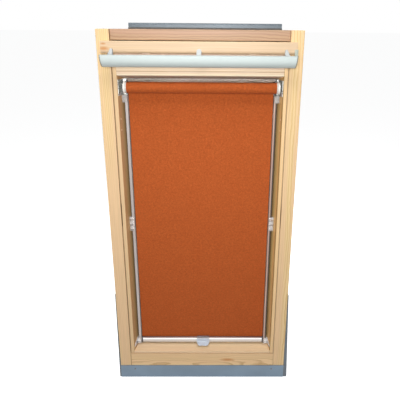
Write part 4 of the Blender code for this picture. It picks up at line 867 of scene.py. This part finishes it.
foot_plastic = moulded("foot_pale", (0.97, 0.93, 0.92), roughness=0.25, clearness=0.45)


def cut_through(place, normal):
    """Cuts the faces of the chosen piece where a plane crosses them."""
    bpy.ops.object.mode_set(mode="EDIT")
    bpy.ops.mesh.select_all(action="SELECT")
    bpy.ops.mesh.bisect(plane_co=place, plane_no=normal)
    bpy.ops.object.mode_set(mode="OBJECT")


def ribs(piece, first, pitch, count, half, depth):
    """Raises ribs across the front of a piece, each a band of its front between two cuts.

    The first rib's middle is that far above the piece's lower end, and half is half a rib's height.
    """
    bottom = min(vertex.co.z for vertex in piece.data.vertices)
    for height in [bottom + first + pitch * rib for rib in range(count)]:
        for edge in (height - half, height + half):
            cut_through((0.0, 0.0, edge), (0.0, 0.0, 1.0))
        pick_faces(piece, lambda middle, normal: normal.y < -0.9 and abs(middle.z - height) < half)
        bpy.ops.mesh.extrude_region_move(TRANSFORM_OT_translate={"value": (0.0, -depth, 0.0)})
        bpy.ops.object.mode_set(mode="OBJECT")


for word in ("left", "right"):
    cap = smoothed("rail_top_cap_" + word, "guide_cap_" + word, cap_plastic, "sash",
                   radius=0.0006)
    ribs(cap, first=0.0072, pitch=0.0060, count=3, half=0.0010, depth=0.0008)
    clip = smoothed("rail_middle_clip_" + word, "guide_clip_" + word, clip_plastic, "sash",
                    radius=0.0006)
    ribs(clip, first=0.0080, pitch=0.0240, count=3, half=0.0016, depth=0.0010)
    foot = smoothed("rail_foot_" + word, "guide_foot_" + word, foot_plastic, "sash",
                    radius=0.0006)
    ribs(foot, first=0.0050, pitch=0.0060, count=2, half=0.0009, depth=0.0007)


# Cloth
# One length of orange polyester cloth, plain woven and coated. It leaves the back of the roller
# and hangs flat to the bottom bar; three more turns of it stay wound on the tube.
THREAD = 0.00085
WAVE_AT_SCALE_1 = 0.314
CLOTH_THICK = 0.0006


def woven_cloth(name, colour):
    """Plain weave at its real pitch, with slubs that run along both sets of threads."""
    finish, tree, cloth = start_finish(name)
    place = own_place(tree)
    heights = []
    for direction in ("X", "Z"):
        threads = tree.nodes.new("ShaderNodeTexWave")
        threads.bands_direction = direction
        threads.inputs["Scale"].default_value = WAVE_AT_SCALE_1 / THREAD
        threads.inputs["Distortion"].default_value = 0.3
        tree.links.new(place, threads.inputs["Vector"])
        heights.append(threads.outputs["Fac"])
    weave = reckon(tree, "MULTIPLY", *heights)
    deep = tuple(value * 0.74 for value in colour)
    tone = ramp(tree, weave, [(0.0, deep), (0.8, colour)])
    for along in ("X", "Z"):
        slub = speckle(tree, grain_space(tree, along, fine=700.0, long=90.0), detail=2.0)
        shade = ramp(tree, slub, [(0.30, grey(0.84)), (0.70, grey(1.0))])
        tone = blend_colours(tree, "MULTIPLY", 1.0, tone, shade)
    patches = ((330.0, (0.82, 0.82, 0.86)), (115.0, (0.84, 0.84, 0.86)), (22.0, (0.97, 0.94, 0.93)))
    for fineness, shade in patches:
        mottle = speckle(tree, place, detail=2.0, scale=fineness)
        blotch = ramp(tree, mottle, [(0.32, shade), (0.68, grey(1.0))])
        tone = blend_colours(tree, "MULTIPLY", 1.0, tone, blotch)
    tree.links.new(tone, cloth.inputs["Base Color"])
    tree.links.new(relief(tree, weave, distance=0.00010), cloth.inputs["Normal"])
    cloth.inputs["Roughness"].default_value = 0.9
    cloth.inputs["Specular IOR Level"].default_value = 0.15
    cloth.inputs["Sheen Weight"].default_value = 0.03
    cloth.inputs["Sheen Roughness"].default_value = 0.4
    return finish


orange_cloth = woven_cloth("orange_cloth", (0.79, 0.172, 0.038))


def finish_cloth(sheet):
    """Gives the sheet that was just made its thickness, half to each side, and its cloth."""
    thick = sheet.modifiers.new("cloth", "SOLIDIFY")
    thick.thickness = CLOTH_THICK
    thick.offset = 0.0
    bpy.ops.object.modifier_apply(modifier="cloth")
    bpy.ops.object.shade_smooth_by_angle(angle=math.radians(40))
    sheet.data.materials.append(orange_cloth)


low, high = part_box("cloth_panel")
bpy.ops.object.select_all(action="DESELECT")
bpy.ops.mesh.primitive_grid_add(x_subdivisions=40, y_subdivisions=90, size=1.0,
                                rotation=(math.pi / 2, 0.0, 0.0))
panel = bpy.context.object
panel.name = "blind_cloth"
panel.scale = (high[0] - low[0], high[2] - low[2], 1.0)
panel.location = [(a + b) / 2 for a, b in zip(low, high)]
bpy.ops.object.transform_apply(location=True, rotation=True, scale=True)
for vertex in panel.data.vertices:
    u = (vertex.co.x - low[0]) / (high[0] - low[0])
    v = (vertex.co.z - low[2]) / (high[2] - low[2])
    slack = math.sin(math.pi * u) * math.sin(math.pi * v) ** 0.6
    wide_wave = 0.0011 * math.sin(5.2 * u + 3.1 * v)
    short_wave = 0.0007 * math.sin(17.0 * v + 2.0 * u)
    vertex.co.y += slack * (wide_wave + short_wave)
finish_cloth(panel)
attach(panel, "sash")
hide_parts("cloth_panel")
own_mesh(panel)

low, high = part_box("cloth_roll")
centre = [(a + b) / 2 for a, b in zip(low, high)]
outside = (high[2] - low[2]) / 2
outer = outside - CLOTH_THICK / 2
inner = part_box("roller_tube")[1][2] - centre[2] + SEAT_GAP + CLOTH_THICK / 2
TURNS = 3
STEPS = 40
bpy.ops.object.select_all(action="DESELECT")
bpy.ops.mesh.primitive_plane_add(size=1.0)
roll = bpy.context.object
roll.name = "blind_cloth_roll"
roll.scale = (high[0] - low[0], 0.01, 1.0)
roll.location = (centre[0], centre[1] + outer - 0.005, centre[2])
bpy.ops.object.transform_apply(location=True, rotation=True, scale=True)
pick(roll, lambda co: co.y < centre[1] + outside - 0.004)
bpy.ops.mesh.delete(type="VERT")
bpy.ops.mesh.select_all(action="SELECT")
bpy.ops.mesh.spin(steps=TURNS * STEPS, angle=-TURNS * math.tau, center=centre, axis=(1.0, 0.0, 0.0),
                  use_auto_merge=False)
bpy.ops.object.mode_set(mode="OBJECT")
for index, vertex in enumerate(roll.data.vertices):
    step = index // 2
    shrink = 1 - (1 - inner / outer) * step / (TURNS * STEPS)
    vertex.co.y = centre[1] + (vertex.co.y - centre[1]) * shrink
    vertex.co.z = centre[2] + (vertex.co.z - centre[2]) * shrink
finish_cloth(roll)
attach(roll, "roller")
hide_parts("cloth_roll")
low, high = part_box("cloth_panel")


# Bottom bar and grip
# A drawn aluminium bar weights the cloth, which goes into a slot along its top. The top carries a
# brown band of painted shadow, then a white band of painted highlight, and the lower part is
# painted darker as painted shade. Moulded shoes at its ends run in the rails, dark plugs close it,
# and a clear bluish grip is snapped over its middle to pull the blind down by; its top carries
# the same painted shadow and highlight.
bar_silver = brushed_aluminium("bottom_bar_silver", (0.72, 0.72, 0.73), "X", bareness=0.72)
shoe_grey = moulded("shoe_dark_grey", (0.10, 0.10, 0.11), roughness=0.4)
hem_bar = smoothed("bottom_bar", "hem_bar", bar_silver, "pull_bar", radius=0.0005)
low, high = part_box("bottom_bar")
slot_shadow_brown = (0.10, 0.03, 0.015)
slot_shadow_bottom, highlight_band_bottom = high[2] - 0.0048, high[2] - 0.0105
# painted shadow along the slot, painted highlight below it, painted shade on the lower part
tint_slice(bar_silver, "Z", slot_shadow_bottom, high[2] + 0.0010, 0.9, slot_shadow_brown)
tint_slice(bar_silver, "Z", highlight_band_bottom, slot_shadow_bottom, 0.9, (0.96, 0.95, 0.93))
tint_slice(bar_silver, "Z", low[2] - 0.0010, highlight_band_bottom, 0.35, (0.42, 0.40, 0.39))
plug_start = high[0] - 0.005
for side in (-1, 1):
    cut_through((side * plug_start, 0.0, 0.0), (1.0, 0.0, 0.0))
hem_bar.data.materials.append(shoe_grey)
for face in hem_bar.data.polygons:
    face.material_index = int(abs(face.center.x) > plug_start)
for word in ("left", "right"):
    smoothed("bar_guide_" + word, "hem_bar_shoe_" + word, shoe_grey, "pull_bar",
             radius=0.0005)
grip_clear = moulded("grip_clear", (0.74, 0.81, 0.93), roughness=0.22, clearness=0.25)
low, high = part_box("pull_grip")
shadow_bottom, lip_highlight_bottom = high[2] - 0.0060, high[2] - 0.0115
# painted shadow at the grip's top and a painted highlight under it
tint_slice(grip_clear, "Z", shadow_bottom, high[2] + 0.0010, 0.75, slot_shadow_brown)
tint_slice(grip_clear, "Z", lip_highlight_bottom, shadow_bottom, 0.6, (0.95, 0.94, 0.95))
grip = smoothed("pull_grip", "hem_bar_grip", grip_clear, "pull_bar")
round_corners(grip, (low[0], 0.0, low[2]), (high[0], 0.06, high[2] + 0.01), end=-1, radius=0.019)
apply_bevel(grip, width=0.0009, segments=3)
